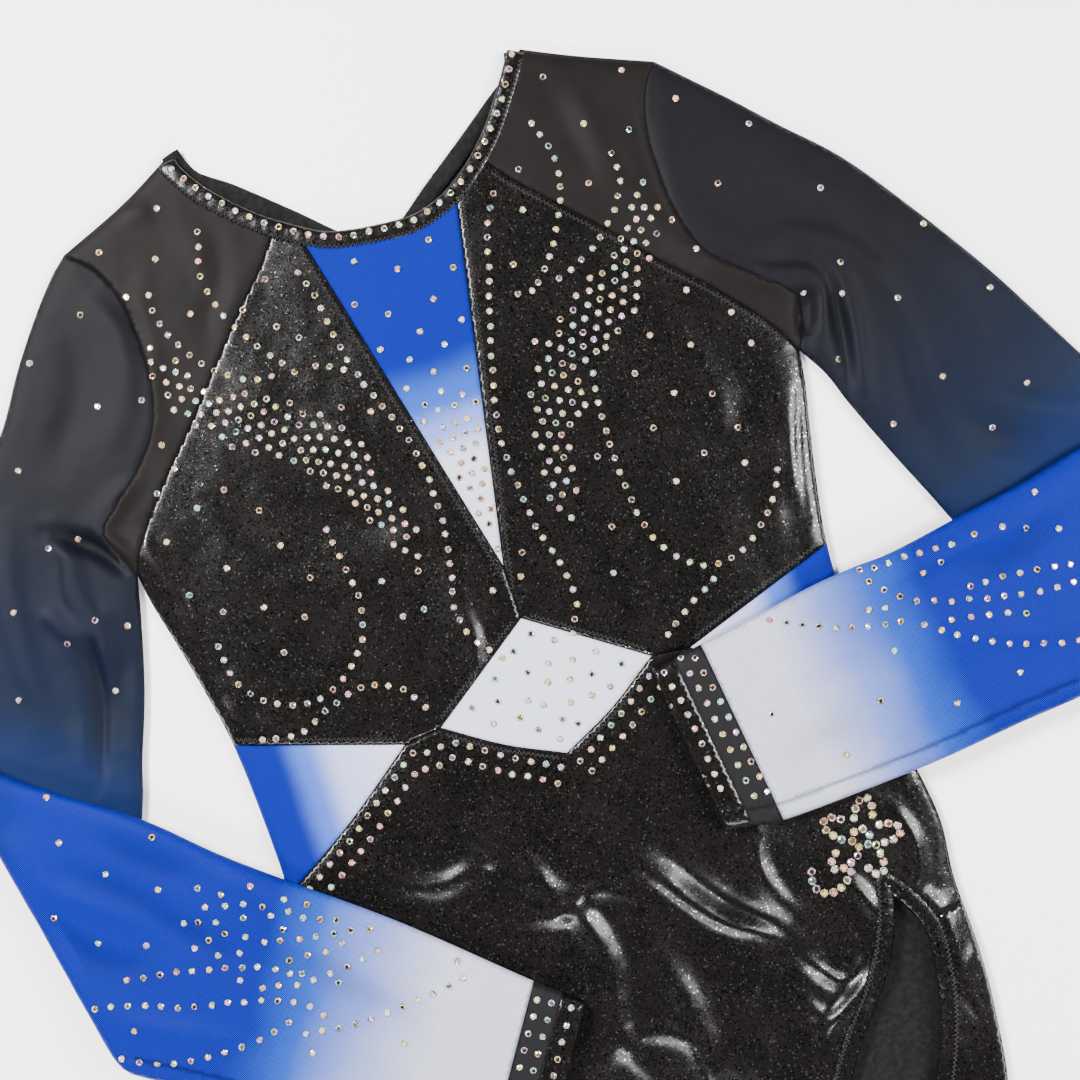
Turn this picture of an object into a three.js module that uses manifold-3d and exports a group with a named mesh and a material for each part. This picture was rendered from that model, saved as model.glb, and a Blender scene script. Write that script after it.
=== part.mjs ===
// Long-sleeved competition gymnastics leotard, laid flat on its back with both sleeves folded at
// the elbows and the forearms resting on the front.
// Frame: millimetres, +Z up, the table is z = 0. The origin is on the table under the centre of
// the waist, +Y runs up the body to the neck and +X points to the wearer's left arm.
// Every panel is one ply of cloth cut from the same flat, hollow blank along its real seam lines.

import * as THREE from 'three';
import { mergeVertices } from 'three/addons/utils/BufferGeometryUtils.js';
import Module from 'manifold-3d';

const wasm = await Module();
wasm.setup();

// ---- Driving dimensions -------------------------------------------------------------------

const LAYER_HEIGHT = 8.0;          // a body or sleeve tube lying flat, outside to outside
const PLY = 0.8;                   // one ply of cloth
const EDGE_RADIUS = 2.8;           // roll of the cloth at a folded side
const SEAM_GAP = 0.3;              // clearance between neighbouring pieces
const LAYER_GAP = 0.4;             // air between the torso and the forearm on top of it
const OVERRUN = 14;                // how far a blank runs past an open end before it is cut

const BINDING_WIDTH = 8.6;         // folded binding around the neck and the legs
const BINDING_PLY = 0.4;
const BINDING_HEIGHT = 1.8;        // both binding plies with the elastic between them

const FOREARM_BASE = LAYER_HEIGHT + LAYER_GAP;
const MID_HEIGHT = LAYER_HEIGHT / 2;
const REACH = 700;                 // longer than the garment, for cutting blocks

// Half outlines of the symmetric torso, from the centre line or the top outwards, x to one side.
const SHOULDER_NECK = [80, 282];
const SHOULDER_TIP = [140, 256];
const ARMPIT = [160, 107];
const SIDE = [
  [157, 94], [152, 71], [147, 48], [142, 20], [140, -22], [141, -50], [148, -88], [150, -114],
  [148, -150], [148, -173], [146, -202], [141, -234], [130, -256], [105, -279], [70, -294], [32, -301],
];
const ARMHOLE = [[140, 256], [126, 230], [123, 193], [133, 169], [152, 146], [166, 128], [160, 107]];
const YOKE_SEAM = [[52, 234], [74, 210], [92, 189], [112, 169], [140, 139], [161, 114]];
const BACK_YOKE_SEAM = [[34, 236], [60, 206], [92, 180], [128, 154], [161, 116]];
const NECK_FRONT = [[82, 283], [70, 261], [54, 243.5], [36, 230], [18, 222.5], [0, 220.5]];
const NECK_BACK = [[82, 283], [72, 268], [54, 251], [34, 233], [16, 217.5], [0, 211]];

const INSERT_TIP = [0, 59.4];
const INSERT_TOP = [39, 240];
const DIAMOND = { top: [0, 35], side: [50, -1], bottom: [0, -28.5], belly: [26, -16.6] };
const WAIST_TIP = [68, -3];
const WAIST_TOP = [152, 26];
const WAIST_BOTTOM = [152, -60];
const BACK_WAIST_CENTRE = [0, -22];
const SIDE_SEAM_FOOT = [137, -152];

const LEG_TOP = [117, -130];
const LEG_FOOT = [38, -284];
const LEG_OUTER = [[128, -148], [130, -172], [124, -201], [112, -228], [92, -252], [64, -273]];
const LEG_INNER = [[46, -256], [60, -225], [78, -198], [94, -178], [107, -158]];
const LINING = [[0, -186], [54, -200], [44, -220], [32, -252], [24, -286]];

// Each sleeve as it lies: the upper arm's outer and inner edges, the elbow fold between them, and
// the forearm's two edges from the fold to the cuff's end.
const SLEEVES = {
  right: {
    outer: [[-195, 190], [-245, 124]],
    inner: [[-172, 56], [-190.5, 6]],
    fold: { outer: [-267.5, 70], inner: [-236, -99] },
    forearm: {
      outer: [[-191, 6], [-138, -45], [-96, -76], [-48, -120]],
      inner: [[-212, -114], [-140, -159], [-94, -188]],
      end: { outer: [-28, -137], inner: [-71, -202] },
    },
  },
  left: {
    outer: [[173, 218], [205, 186], [250, 117], [277, 68]],
    inner: [[183, 53], [198, 15]],
    fold: { outer: [297, 31], inner: [233, -79] },
    forearm: {
      outer: [[263, 26], [198, 14], [147, 8], [112, 3], [70, -3]],
      inner: [[196, -82], [120, -88], [84, -89]],
      end: { outer: [48, -6], inner: [57, -85] },
    },
  },
};
const CUFF_BAND = 11;              // foil band at the end of the sleeve
const CUFF_MESH = 13.5;            // dark mesh strip between the sleeve and the band

// ---- Materials ----------------------------------------------------------------------------

const CLOTH = {
  foil: { color: 0x262421, roughness: 0.45, metalness: 0.2 },
  tricot: { color: 0x3c3534, roughness: 0.8, metalness: 0 },
  blueInsert: { color: 0x2f6fe0, roughness: 0.75, metalness: 0 },
  whiteInsert: { color: 0xe6e6ee, roughness: 0.75, metalness: 0 },
  sideInsert: { color: 0x7f9fe6, roughness: 0.75, metalness: 0 },
  darkMesh: { color: 0x34323a, roughness: 0.7, metalness: 0 },
  blueMesh: { color: 0x2a63dc, roughness: 0.7, metalness: 0 },
  elastic: { color: 0xd8d4c8, roughness: 0.85, metalness: 0 },
  lining: { color: 0x17171a, roughness: 0.9, metalness: 0 },
};

const materials = Object.fromEntries(
  Object.entries(CLOTH).map(([name, look]) => [name, new THREE.MeshStandardMaterial(look)]),
);

// ---- Plane outlines -----------------------------------------------------------------------

const vector = ([x, y]) => new THREE.Vector2(x, y);

const mirrored = (points, side) => points.map(([x, y]) => [x * side, y]);

function smooth(points, steps) {
  const curve = new THREE.SplineCurve(points.map(vector));
  return curve.getPoints(steps).map((point) => [point.x, point.y]);
}

function beyond([x0, y0], [x1, y1], length) {
  const scale = length / Math.hypot(x1 - x0, y1 - y0);
  return [x1 + (x1 - x0) * scale, y1 + (y1 - y0) * scale];
}

function shifted(path, distance) {
  return path.map(([x, y], index) => {
    const [x0, y0] = path[Math.max(index - 1, 0)];
    const [x1, y1] = path[Math.min(index + 1, path.length - 1)];
    const length = Math.hypot(x1 - x0, y1 - y0);
    return [x + (distance * (y1 - y0)) / length, y - (distance * (x1 - x0)) / length];
  });
}

function acrossCentre(half) {
  return [...mirrored(half, -1), ...half.slice(0, -1).reverse()];
}

// ---- Solids -------------------------------------------------------------------------------

function toSolid(geometry) {
  geometry.deleteAttribute('normal');
  geometry.deleteAttribute('uv');
  const merged = mergeVertices(geometry, 1e-4);
  return new wasm.Manifold(new wasm.Mesh({
    numProp: 3,
    vertProperties: merged.attributes.position.array,
    triVerts: Uint32Array.from(merged.index.array),
  }));
}

// A straight-sided block over an outline, grown by "grow" all round.
function block(outline, low, high, grow = -SEAM_GAP / 2) {
  const geometry = new THREE.ExtrudeGeometry(new THREE.Shape(outline.map(vector)), {
    depth: high - low,
    bevelEnabled: true,
    bevelSegments: 0,
    bevelThickness: 0,
    bevelSize: grow,
  });
  return toSolid(geometry.translate(0, 0, low));
}

// A flat slab with rolled edges over an outline, shrunk evenly by "inset" on every face.
function slab(outline, base, inset) {
  const roll = Math.max(EDGE_RADIUS - inset, 1);
  const geometry = new THREE.ExtrudeGeometry(new THREE.Shape(outline.map(vector)), {
    depth: LAYER_HEIGHT - 2 * (inset + roll),
    bevelEnabled: true,
    bevelSegments: 2,
    bevelThickness: roll,
    bevelSize: roll,
    bevelOffset: -inset - roll,
  });
  return toSolid(geometry.translate(0, 0, base + inset + roll));
}

function shell(outline, base, from, to) {
  return slab(outline, base, from).subtract(slab(outline, base, to));
}

const frontOnly = (outline) => block(outline, MID_HEIGHT + SEAM_GAP / 2, LAYER_HEIGHT + 1);
const backOnly = (outline) => block(outline, -1, MID_HEIGHT - SEAM_GAP / 2);
const fullHeight = (outline, grow) => block(outline, -1, 3 * LAYER_HEIGHT, grow);

// Everything on the left of the directed line from one point to another, from "inset" inwards.
function leftOf([x0, y0], [x1, y1], inset) {
  const length = Math.hypot(x1 - x0, y1 - y0);
  const [ux, uy] = [(x1 - x0) / length, (y1 - y0) / length];
  const corner = (along, aside) => [
    x0 + ux * along - uy * (aside + inset),
    y0 + uy * along + ux * (aside + inset),
  ];
  return fullHeight([corner(-REACH, 0), corner(REACH, 0), corner(REACH, REACH), corner(-REACH, REACH)], 0);
}

// ---- The blank: torso and upper sleeves as one hollow, flat tube ----------------------------

function sleeveOutline({ outer, inner, fold }, side) {
  const [tip] = mirrored([SHOULDER_TIP], side);
  const edge = [
    ...smooth([tip, ...outer, fold.outer], 9).slice(1),
    beyond(outer.at(-1), fold.outer, OVERRUN),
    beyond(inner.at(-1), fold.inner, OVERRUN),
    fold.inner,
    ...inner.toReversed(),
  ];
  const notch = [[ARMPIT[0] + 9, ARMPIT[1] - 18], [ARMPIT[0] + 2.6, ARMPIT[1] - 5]];
  return [...edge, ...mirrored(notch, side)];
}

const throat = beyond(SHOULDER_TIP, SHOULDER_NECK, 3 * OVERRUN);
const armpitSide = [ARMPIT[0] - 1.6, ARMPIT[1] - 5];
const halfFromShoulder = (side) => [
  ...mirrored([throat, SHOULDER_NECK, SHOULDER_TIP], side),
  ...sleeveOutline(side > 0 ? SLEEVES.left : SLEEVES.right, side),
  ...mirrored([ARMPIT, armpitSide, ...SIDE], side),
];
const blankOutline = [...halfFromShoulder(-1), ...halfFromShoulder(1).reverse()];

const cloth = shell(blankOutline, 0, 0, PLY);
const bindingCloth = shell(blankOutline, 0, 0, BINDING_HEIGHT);
const bindingHollow = shell(blankOutline, 0, BINDING_PLY, BINDING_HEIGHT - BINDING_PLY);
const elasticCloth = shell(blankOutline, 0, BINDING_PLY + SEAM_GAP, BINDING_HEIGHT - BINDING_PLY - SEAM_GAP);

// Torso side of both armhole seams, down to the hem.
const armholeLine = [beyond(ARMHOLE[1], ARMHOLE[0], OVERRUN), ...smooth(ARMHOLE, 12).slice(1)];
const torsoHalf = [[147, 320], ...armholeLine, [161, 90], [166, 60], [172, 20], [172, -330]];
const torsoRegion = [...torsoHalf, ...mirrored(torsoHalf, -1).reverse()];

// ---- Neck ---------------------------------------------------------------------------------

const neckLines = {
  front: acrossCentre(smooth(NECK_FRONT, 10)),
  back: acrossCentre(smooth(NECK_BACK, 10)),
};

// Everything above a neck line moved down into the cloth by "depth".
function neckCut(line, depth) {
  const lowered = shifted(line, depth);
  return [
    [lowered[0][0] - 30, 330],
    beyond(lowered[1], lowered[0], OVERRUN),
    ...lowered,
    beyond(lowered.at(-2), lowered.at(-1), OVERRUN),
    [lowered.at(-1)[0] + 30, 330],
  ];
}

// A band along a neck line between two depths, front and back joined over the shoulders.
function neckBand(material, from, to) {
  const overlap = 0.2;
  const ring = (line, low, high) => block(neckCut(line, to), low, high, 0)
    .subtract(block(neckCut(line, from), -2, LAYER_HEIGHT + 2, 0));
  const front = ring(neckLines.front, MID_HEIGHT - overlap, LAYER_HEIGHT + 1);
  const back = ring(neckLines.back, -1, MID_HEIGHT + overlap);
  return material.intersect(front.add(back));
}

const HALF_BINDING = BINDING_WIDTH / 2;
const neckFrontEdge = fullHeight(neckCut(neckLines.front, HALF_BINDING), SEAM_GAP);
const neckBackEdge = fullHeight(neckCut(neckLines.back, HALF_BINDING), SEAM_GAP);

function neckBinding() {
  const fold = BINDING_PLY - HALF_BINDING;
  return neckBand(bindingCloth, -HALF_BINDING, HALF_BINDING)
    .subtract(neckBand(bindingHollow, fold, HALF_BINDING + 1));
}

function neckElastic() {
  const fold = BINDING_PLY + SEAM_GAP - HALF_BINDING;
  return neckBand(elasticCloth, fold, HALF_BINDING - 0.6);
}

// ---- Legs ---------------------------------------------------------------------------------

const legHole = (side) => {
  const outer = smooth([LEG_TOP, ...LEG_OUTER, LEG_FOOT], 18);
  const inner = smooth([LEG_FOOT, ...LEG_INNER, LEG_TOP], 16);
  return mirrored([...outer.slice(0, -1), ...inner.slice(0, -1)], side);
};

function legRing(material, side, from, to) {
  return material
    .intersect(block(legHole(side), MID_HEIGHT, LAYER_HEIGHT + 1, to))
    .subtract(block(legHole(side), 0, LAYER_HEIGHT + 2, from));
}

function legBinding(side) {
  return legRing(bindingCloth, side, 0, BINDING_WIDTH)
    .subtract(legRing(bindingHollow, side, BINDING_PLY, BINDING_WIDTH + 1));
}

const legElastic = (side) => legRing(elasticCloth, side, BINDING_PLY + SEAM_GAP, BINDING_WIDTH - 0.6);

const legCut = (side) => block(legHole(side), MID_HEIGHT, LAYER_HEIGHT + 1, BINDING_WIDTH + SEAM_GAP);
const bothLegs = legCut(1).add(legCut(-1));

// ---- Torso panels -------------------------------------------------------------------------

const torsoCloth = cloth.intersect(block(torsoRegion, -1, LAYER_HEIGHT + 1));
const frontCloth = torsoCloth.subtract(neckFrontEdge).subtract(bothLegs);
const backCloth = torsoCloth.subtract(neckBackEdge);

const frontPanel = (outline) => frontCloth.intersect(frontOnly(outline));
const backPanel = (outline) => backCloth.intersect(backOnly(outline));

const yokeSeam = smooth([beyond(YOKE_SEAM[1], YOKE_SEAM[0], OVERRUN), ...YOKE_SEAM], 12);
const backYokeSeam = smooth([beyond(BACK_YOKE_SEAM[1], BACK_YOKE_SEAM[0], OVERRUN), ...BACK_YOKE_SEAM], 12);
const outsideArmpit = [176, 104];

function yokeOutline(seam, side) {
  return mirrored([[40, 330], ...seam, outsideArmpit, [190, 330]], side);
}

function bodiceFrontOutline(side) {
  const { top, side: corner } = DIAMOND;
  return mirrored(
    [top, INSERT_TIP, INSERT_TOP, ...yokeSeam, outsideArmpit, [176, 26], WAIST_TOP, WAIST_TIP, corner],
    side,
  );
}

const backWaist = [WAIST_TIP, BACK_WAIST_CENTRE, ...mirrored([WAIST_TIP], -1)];

function bodiceBackOutline() {
  const half = [[0, 330], ...backYokeSeam, outsideArmpit, [176, 26], WAIST_TOP, WAIST_TIP];
  return [...half, BACK_WAIST_CENTRE, ...mirrored(half.slice(1), -1).reverse()];
}

const insertOutline = [INSERT_TIP, INSERT_TOP, ...mirrored([INSERT_TOP], -1)];
const diamondLower = (side) => mirrored([DIAMOND.side, DIAMOND.belly], side);
const diamondOutline = [DIAMOND.top, ...diamondLower(1), DIAMOND.bottom, ...diamondLower(-1).reverse()];
const waistOutline = (side) => mirrored([WAIST_TIP, WAIST_TOP, WAIST_BOTTOM], side);

function briefFront() {
  const half = [DIAMOND.belly, DIAMOND.side, WAIST_TIP, WAIST_BOTTOM, [170, -152], SIDE_SEAM_FOOT];
  const inner = [[120, -160], [90, -220], LEG_FOOT, [34, -320]];
  const edge = [...half, ...inner];
  return frontPanel([DIAMOND.bottom, ...edge, ...mirrored(edge, -1).reverse()]);
}

// The seat, and the strip of it that rolls round the hip to the leg opening's outer edge.
function briefBack() {
  const low = [[170, -330], [-170, -330]];
  const seat = backPanel([...backWaist, ...mirrored([WAIST_BOTTOM], -1), low[1], low[0], WAIST_BOTTOM]);
  const strip = (side) => mirrored(
    [SIDE_SEAM_FOOT, [170, -152], [170, -330], [34, -330], LEG_FOOT, [90, -220], [120, -160]],
    side,
  );
  const rolled = [1, -1].map((side) => torsoCloth
    .subtract(bothLegs)
    .intersect(block(strip(side), MID_HEIGHT - 1, LAYER_HEIGHT + 1)));
  return seat.add(rolled[0]).add(rolled[1]);
}

function crotchLining() {
  const outline = [...LINING, ...mirrored(LINING.slice(1), -1).reverse()];
  const top = LAYER_HEIGHT - PLY - SEAM_GAP;
  return block(outline, top - BINDING_PLY, top, 0);
}

// ---- Sleeves ------------------------------------------------------------------------------

function upperSleeve(sleeve, side) {
  const { outer, inner } = sleeve.fold;
  const [from, to] = side > 0 ? [inner, outer] : [outer, inner];
  return cloth
    .subtract(block(torsoRegion, -1, LAYER_HEIGHT + 1, SEAM_GAP / 2))
    .intersect(leftOf(from, to, SEAM_GAP / 2))
    .intersect(leftOf([0, 0], [0, -side], 0));
}

// The forearm lies upside down on the front, from the fold to the cuff's end.
function forearmTube({ fold, forearm }) {
  const { outer, inner, end } = forearm;
  const outline = [
    beyond(outer[0], fold.outer, OVERRUN),
    ...outer,
    beyond(outer.at(-1), end.outer, OVERRUN),
    beyond(inner.at(-1), end.inner, OVERRUN),
    ...inner.toReversed(),
    beyond(inner[0], fold.inner, OVERRUN),
  ];
  return shell(outline, FOREARM_BASE, 0, PLY);
}

function forearmPieces(sleeve, side) {
  const tube = forearmTube(sleeve);
  const { fold } = sleeve;
  const { end } = sleeve.forearm;
  const foldLine = side > 0 ? [fold.inner, fold.outer] : [fold.outer, fold.inner];
  const endLine = side > 0 ? [end.outer, end.inner] : [end.inner, end.outer];
  const between = (from, to) => {
    const piece = tube.intersect(leftOf(...endLine, from));
    return to === undefined
      ? piece.intersect(leftOf(...foldLine, SEAM_GAP / 2))
      : piece.subtract(leftOf(...endLine, to - SEAM_GAP));
  };
  return {
    band: between(0, CUFF_BAND),
    mesh: between(CUFF_BAND, CUFF_BAND + CUFF_MESH),
    lower: between(CUFF_BAND + CUFF_MESH),
  };
}

// ---- Assembly -----------------------------------------------------------------------------

const leotard = new THREE.Group();

function addPiece(name, solid, material) {
  const { vertProperties, triVerts } = solid.getMesh();
  const geometry = new THREE.BufferGeometry();
  geometry.setAttribute('position', new THREE.BufferAttribute(Float32Array.from(vertProperties), 3));
  geometry.setIndex(new THREE.BufferAttribute(Uint32Array.from(triVerts), 1));
  geometry.computeVertexNormals();
  const mesh = new THREE.Mesh(geometry, material);
  mesh.name = name;
  leotard.add(mesh);
}

addPiece('centre_v_insert', frontPanel(insertOutline), materials.blueInsert);
addPiece('waist_diamond', frontPanel(diamondOutline), materials.whiteInsert);
addPiece('brief_front', briefFront(), materials.foil);
addPiece('bodice_back', backPanel(bodiceBackOutline()), materials.foil);
addPiece('brief_back', briefBack(), materials.foil);
addPiece('crotch_lining', crotchLining(), materials.lining);
addPiece('neck_binding', neckBinding(), materials.foil);
addPiece('neck_elastic', neckElastic(), materials.elastic);

for (const [hand, side] of [['right', -1], ['left', 1]]) {
  addPiece(`front_yoke_${hand}`, frontPanel(yokeOutline(yokeSeam, side)), materials.tricot);
  addPiece(`back_yoke_${hand}`, backPanel(yokeOutline(backYokeSeam, side)), materials.tricot);
  addPiece(`bodice_front_${hand}`, frontPanel(bodiceFrontOutline(side)), materials.foil);
  addPiece(`waist_insert_front_${hand}`, frontPanel(waistOutline(side)), materials.sideInsert);
  addPiece(`waist_insert_back_${hand}`, backPanel(waistOutline(side)), materials.sideInsert);
  addPiece(`leg_binding_${hand}`, legBinding(side), materials.foil);
  addPiece(`leg_elastic_${hand}`, legElastic(side), materials.elastic);
  addPiece(`sleeve_upper_${hand}`, upperSleeve(SLEEVES[hand], side), materials.darkMesh);
  const { lower, mesh, band } = forearmPieces(SLEEVES[hand], side);
  addPiece(`sleeve_lower_${hand}`, lower, materials.blueMesh);
  addPiece(`cuff_mesh_${hand}`, mesh, materials.darkMesh);
  addPiece(`cuff_band_${hand}`, band, materials.foil);
}

export default leotard;
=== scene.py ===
import math
import random

import bpy
import numpy as np
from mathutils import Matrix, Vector, noise
from mathutils.geometry import delaunay_2d_cdt


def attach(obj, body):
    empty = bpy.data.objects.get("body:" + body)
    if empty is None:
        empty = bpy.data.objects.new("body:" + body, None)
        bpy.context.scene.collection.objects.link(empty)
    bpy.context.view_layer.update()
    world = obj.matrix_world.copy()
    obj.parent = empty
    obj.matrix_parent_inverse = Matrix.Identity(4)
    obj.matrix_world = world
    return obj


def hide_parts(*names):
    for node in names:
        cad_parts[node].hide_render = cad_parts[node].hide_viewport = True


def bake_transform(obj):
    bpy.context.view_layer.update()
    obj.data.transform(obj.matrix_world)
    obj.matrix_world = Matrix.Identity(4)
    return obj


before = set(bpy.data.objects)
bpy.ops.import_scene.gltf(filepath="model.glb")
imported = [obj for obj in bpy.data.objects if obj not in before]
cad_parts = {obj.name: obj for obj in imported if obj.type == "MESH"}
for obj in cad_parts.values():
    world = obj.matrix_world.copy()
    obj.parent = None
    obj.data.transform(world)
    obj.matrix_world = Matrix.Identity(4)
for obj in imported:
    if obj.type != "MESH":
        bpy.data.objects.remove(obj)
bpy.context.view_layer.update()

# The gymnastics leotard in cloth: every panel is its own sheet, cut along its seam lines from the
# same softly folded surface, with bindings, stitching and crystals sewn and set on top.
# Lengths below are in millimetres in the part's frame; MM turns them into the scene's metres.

MM = 0.001
random.seed(11)

# ---- Heights of the lying garment ---------------------------------------------------------

BACK_Z = 0.5                 # outer face of the back, on the table
FRONT_Z = 6.4                # outer face of the front over the trunk
SHOULDER_DROP = 1.8          # the front lies lower at the shoulders
SLEEVE_DROP = 0.8            # and a little lower along the arms
SHOULDER_SLOPE = (150, 270)  # the y between which the shoulders drop
ARM_START = 145              # the arms begin this far from the middle
RIM = 9.0                    # how far in from a folded side the cloth curls
FOREARM_UNDER = 8.9          # underside of a forearm lying on the front
FOREARM_OVER = 14.9
FOLD_REACH = 5.0             # how far the elbow fold bulges past the flat plies
CLOTH = 0.45                 # thickness of one ply
DEEPEST = 1.6                # a crease of the front stops here, clear of the back
SLEEVE_LIMIT = 7.9           # an upper sleeve stays under this, so the elbow fold bends cleanly
BODY_LIMIT = 9.8
COVERED_LIMIT = 8.2          # the front stays under this beneath a forearm
SOFT = 0.8                   # height over which the front eases into its limits
LOOSE_FROM, LOOSE_TO = -20, -70   # below the waist the cloth lies looser
TRUNK_RELIEF, LOOSE_RELIEF, SLEEVE_RELIEF, FOREARM_RELIEF = 1.2, 0.4, 2.6, 1.7
SEAM_DEPTH, SEAM_WIDTH, PUCKER_PITCH = 0.32, 1.1, 5.3

FINE = 1.7                   # mesh step on the front and the sleeves
COARSE = 3.2                 # mesh step on the back
SAME = 0.02                  # vertices closer than this are one

# ---- Outlines and seams (x to one side, mirrored for the other) -----------------------------

BEYOND, ABOVE = 190, 330     # past the sides and past the neck, for cutting regions
SHOULDER = {
    "right": [(-83, 284), (-110, 269.5), (-143, 256)],
    "left": [(81, 278.5), (105, 267), (138, 253)],
}
SIDE = [(158, 108), (156, 94), (151, 72), (146, 48), (141.5, 20), (139.5, -22), (140, -50), (146, -80),
        (150, -112), (147.5, -140), (148, -173), (146, -202), (140, -238), (127, -261), (101, -282),
        (66, -295), (30, -301), (0, -302)]
ARMHOLE = [(131, 244), (125, 228), (123, 208), (124, 188), (130, 168), (142, 153), (156, 141), (165, 131),
           (164, 120), (158, 108)]
YOKE_SEAM = [(50, 236), (60, 223), (75, 207), (92, 189), (112, 166), (132, 145), (150, 123), (158, 108)]
BACK_YOKE_SEAM = [(34, 236), (60, 206), (92, 180), (128, 152), (158, 108)]
NECK_FRONT = [(-86, 284), (-84, 275), (-76, 262), (-65, 250), (-54, 240), (-42, 231.5), (-30, 224.3),
              (-17, 220.7), (-2, 218.6), (12, 218), (25, 221), (37, 227), (48, 235.6), (58.5, 246),
              (68, 258.5), (76, 270), (82, 280)]
NECK_BACK = [(-84, 287), (-78, 271), (-62, 258), (-40, 238), (-22, 221), (-8, 213), (6, 217), (24, 230),
             (44, 244), (62, 257), (75, 267), (80, 281)]
INSERT_TIP = (0, 59.4)
INSERT_TOP = {"right": (-39.5, 232), "left": (35, 232)}
INSERT_DYE_TOP = 225
DIAMOND_TOP = (0, 34)
DIAMOND_SIDE = (50, -1)
DIAMOND_BELLY = (26, -17)
DIAMOND_FOOT = (0, -30)
WAIST_TIP = (68, -3)
WAIST_TOP = (143, 22)
WAIST_FOOT = (142, -52)
WAIST_BELLY = (104, -29)
BACK_WAIST = [(68, -3), (34, -16), (0, -22)]
SEAM_FOOT = (137, -152)
LEG_TOP = (117, -130)
LEG_FOOT = (38, -284)
LEG_OUTER = [(125, -141), (131, -156), (130, -174), (124, -201), (112, -228), (92, -252), (64, -273)]
LEG_INNER = [(46, -256), (60, -225), (76, -200), (91, -181), (104, -163), (112, -146)]

SLEEVES = {
    "right": {
        "outer": [(-152, 248), (-165, 233), (-180, 213), (-195, 190), (-222, 157), (-245, 124), (-260, 94)],
        "inner": [(-163, 88), (-172, 57), (-183, 28), (-190.5, 6), (-215, -50)],
        "fold": [(-267.5, 70), (-236, -99)],
        "fore_outer": [(-236, 38), (-191, 5), (-163, -21), (-138, -42), (-96, -76), (-48, -120), (-28, -137)],
        "fore_inner": [(-224, -107), (-212, -114), (-178, -135), (-140, -159), (-94, -188), (-71, -202)],
    },
    "left": {
        "outer": [(150, 241), (165, 226), (182, 208), (205, 184), (229, 150), (250, 117), (265, 90),
                  (279, 64)],
        "inner": [(166, 94), (172, 77), (183, 50), (198, 15), (216, -32)],
        "fold": [(297, 31), (233, -79)],
        "fore_outer": [(263, 26), (230, 19), (198, 14), (167, 9), (147, 8), (127, 6), (98, 1), (70, -3),
                       (48, -6)],
        "fore_inner": [(215, -80.5), (196, -82), (158, -86), (120, -88), (84, -89), (68, -87), (57, -85)],
    },
}
CUFF_BAND = 11.0             # foil band at the sleeve's end
CUFF_MESH = 13.5             # dark mesh strip above it
BINDING = 8.6                # finished width
ELASTIC_HALF = 2.6           # half the neck tape's width
LEG_ELASTIC_HALF = 2.4
GATHER_PITCH = 4.6           # length of one pucker along a binding
UNDERSEAM = 8.0              # the sleeve seam lies this far inside the forearm's lower edge
UNDER_BINDING = 1.5          # how far the panels' edges reach in under a binding

SIDES = {"right": -1, "left": 1}


# ---- Plane curves -------------------------------------------------------------------------

def flip(points, side):
    return [(x * side, y) for x, y in points]


def unit(rows):
    return rows / np.linalg.norm(rows, axis=1)[:, None]


def path_length(path, closed=False):
    path = np.vstack([path, path[:1]]) if closed else path
    return float(np.linalg.norm(np.diff(path, axis=0), axis=1).sum())


def evenly(path, step):
    path = np.asarray(path, float)
    along = np.concatenate([[0], np.cumsum(np.linalg.norm(np.diff(path, axis=0), axis=1))])
    marks = np.linspace(0, along[-1], max(1, round(along[-1] / step)) + 1)
    return np.stack([np.interp(marks, along, path[:, k]) for k in range(path.shape[1])], axis=1)


def smooth(points, step=FINE):
    """A smooth path through the points, with a vertex every step millimetres."""
    p = np.asarray(points, float)
    p = np.vstack([2 * p[0] - p[1], p, 2 * p[-1] - p[-2]])
    t = np.linspace(0, 1, 12, endpoint=False)[:, None]
    rows = []
    for a, b, c, d in zip(p, p[1:], p[2:], p[3:]):
        bend, twist = 2 * a - 5 * b + 4 * c - d, 3 * b - a - 3 * c + d
        rows.append(0.5 * (2 * b + (c - a) * t + bend * t**2 + twist * t**3))
    return evenly(np.vstack(rows + [p[-2:-1]]), step)


def nearest(path, points, closed=False):
    """Distance from each point to the path, the share of the path's length there, and which side."""
    path = np.asarray(path, float)
    if closed:
        path = np.vstack([path, path[:1]])
    best = np.full(len(points), 1e9)
    share = np.zeros(len(points))
    hand = np.ones(len(points))
    lengths = np.linalg.norm(np.diff(path, axis=0), axis=1)
    run = np.concatenate([[0], np.cumsum(lengths)])
    for i, length in enumerate(lengths):
        a = path[i]
        u = (path[i + 1] - a) / max(length, 1e-9)
        rel = points - a
        t = np.clip(rel @ u, 0, length)
        gap = rel - t[:, None] * u
        d = np.hypot(gap[:, 0], gap[:, 1])
        closer = d < best
        best = np.where(closer, d, best)
        share = np.where(closer, (run[i] + t) / run[-1], share)
        hand = np.where(closer, np.sign(u[0] * rel[:, 1] - u[1] * rel[:, 0]), hand)
    return best, share, hand


def inside(polygon, points):
    polygon = np.asarray(polygon, float)
    x, y = points[:, 0], points[:, 1]
    found = np.zeros(len(points), bool)
    for (x0, y0), (x1, y1) in zip(polygon, np.roll(polygon, -1, axis=0)):
        crosses = (y0 > y) != (y1 > y)
        with np.errstate(divide="ignore", invalid="ignore"):
            found ^= crosses & (x < (x1 - x0) * (y - y0) / (y1 - y0) + x0)
    return found


def ramp(value, low, high):
    t = np.clip((value - low) / (high - low), 0, 1)
    return t * t * (3 - 2 * t)


def ripple(points, size, seed):
    """Soft random height, about -1 to 1, with bumps of the given size."""
    shift = Vector((seed * 17.3, seed * 5.1, seed * 2.7))
    return np.array([noise.noise(Vector((x, y, 0)) / size + shift) for x, y in points]) * 1.6


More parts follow.
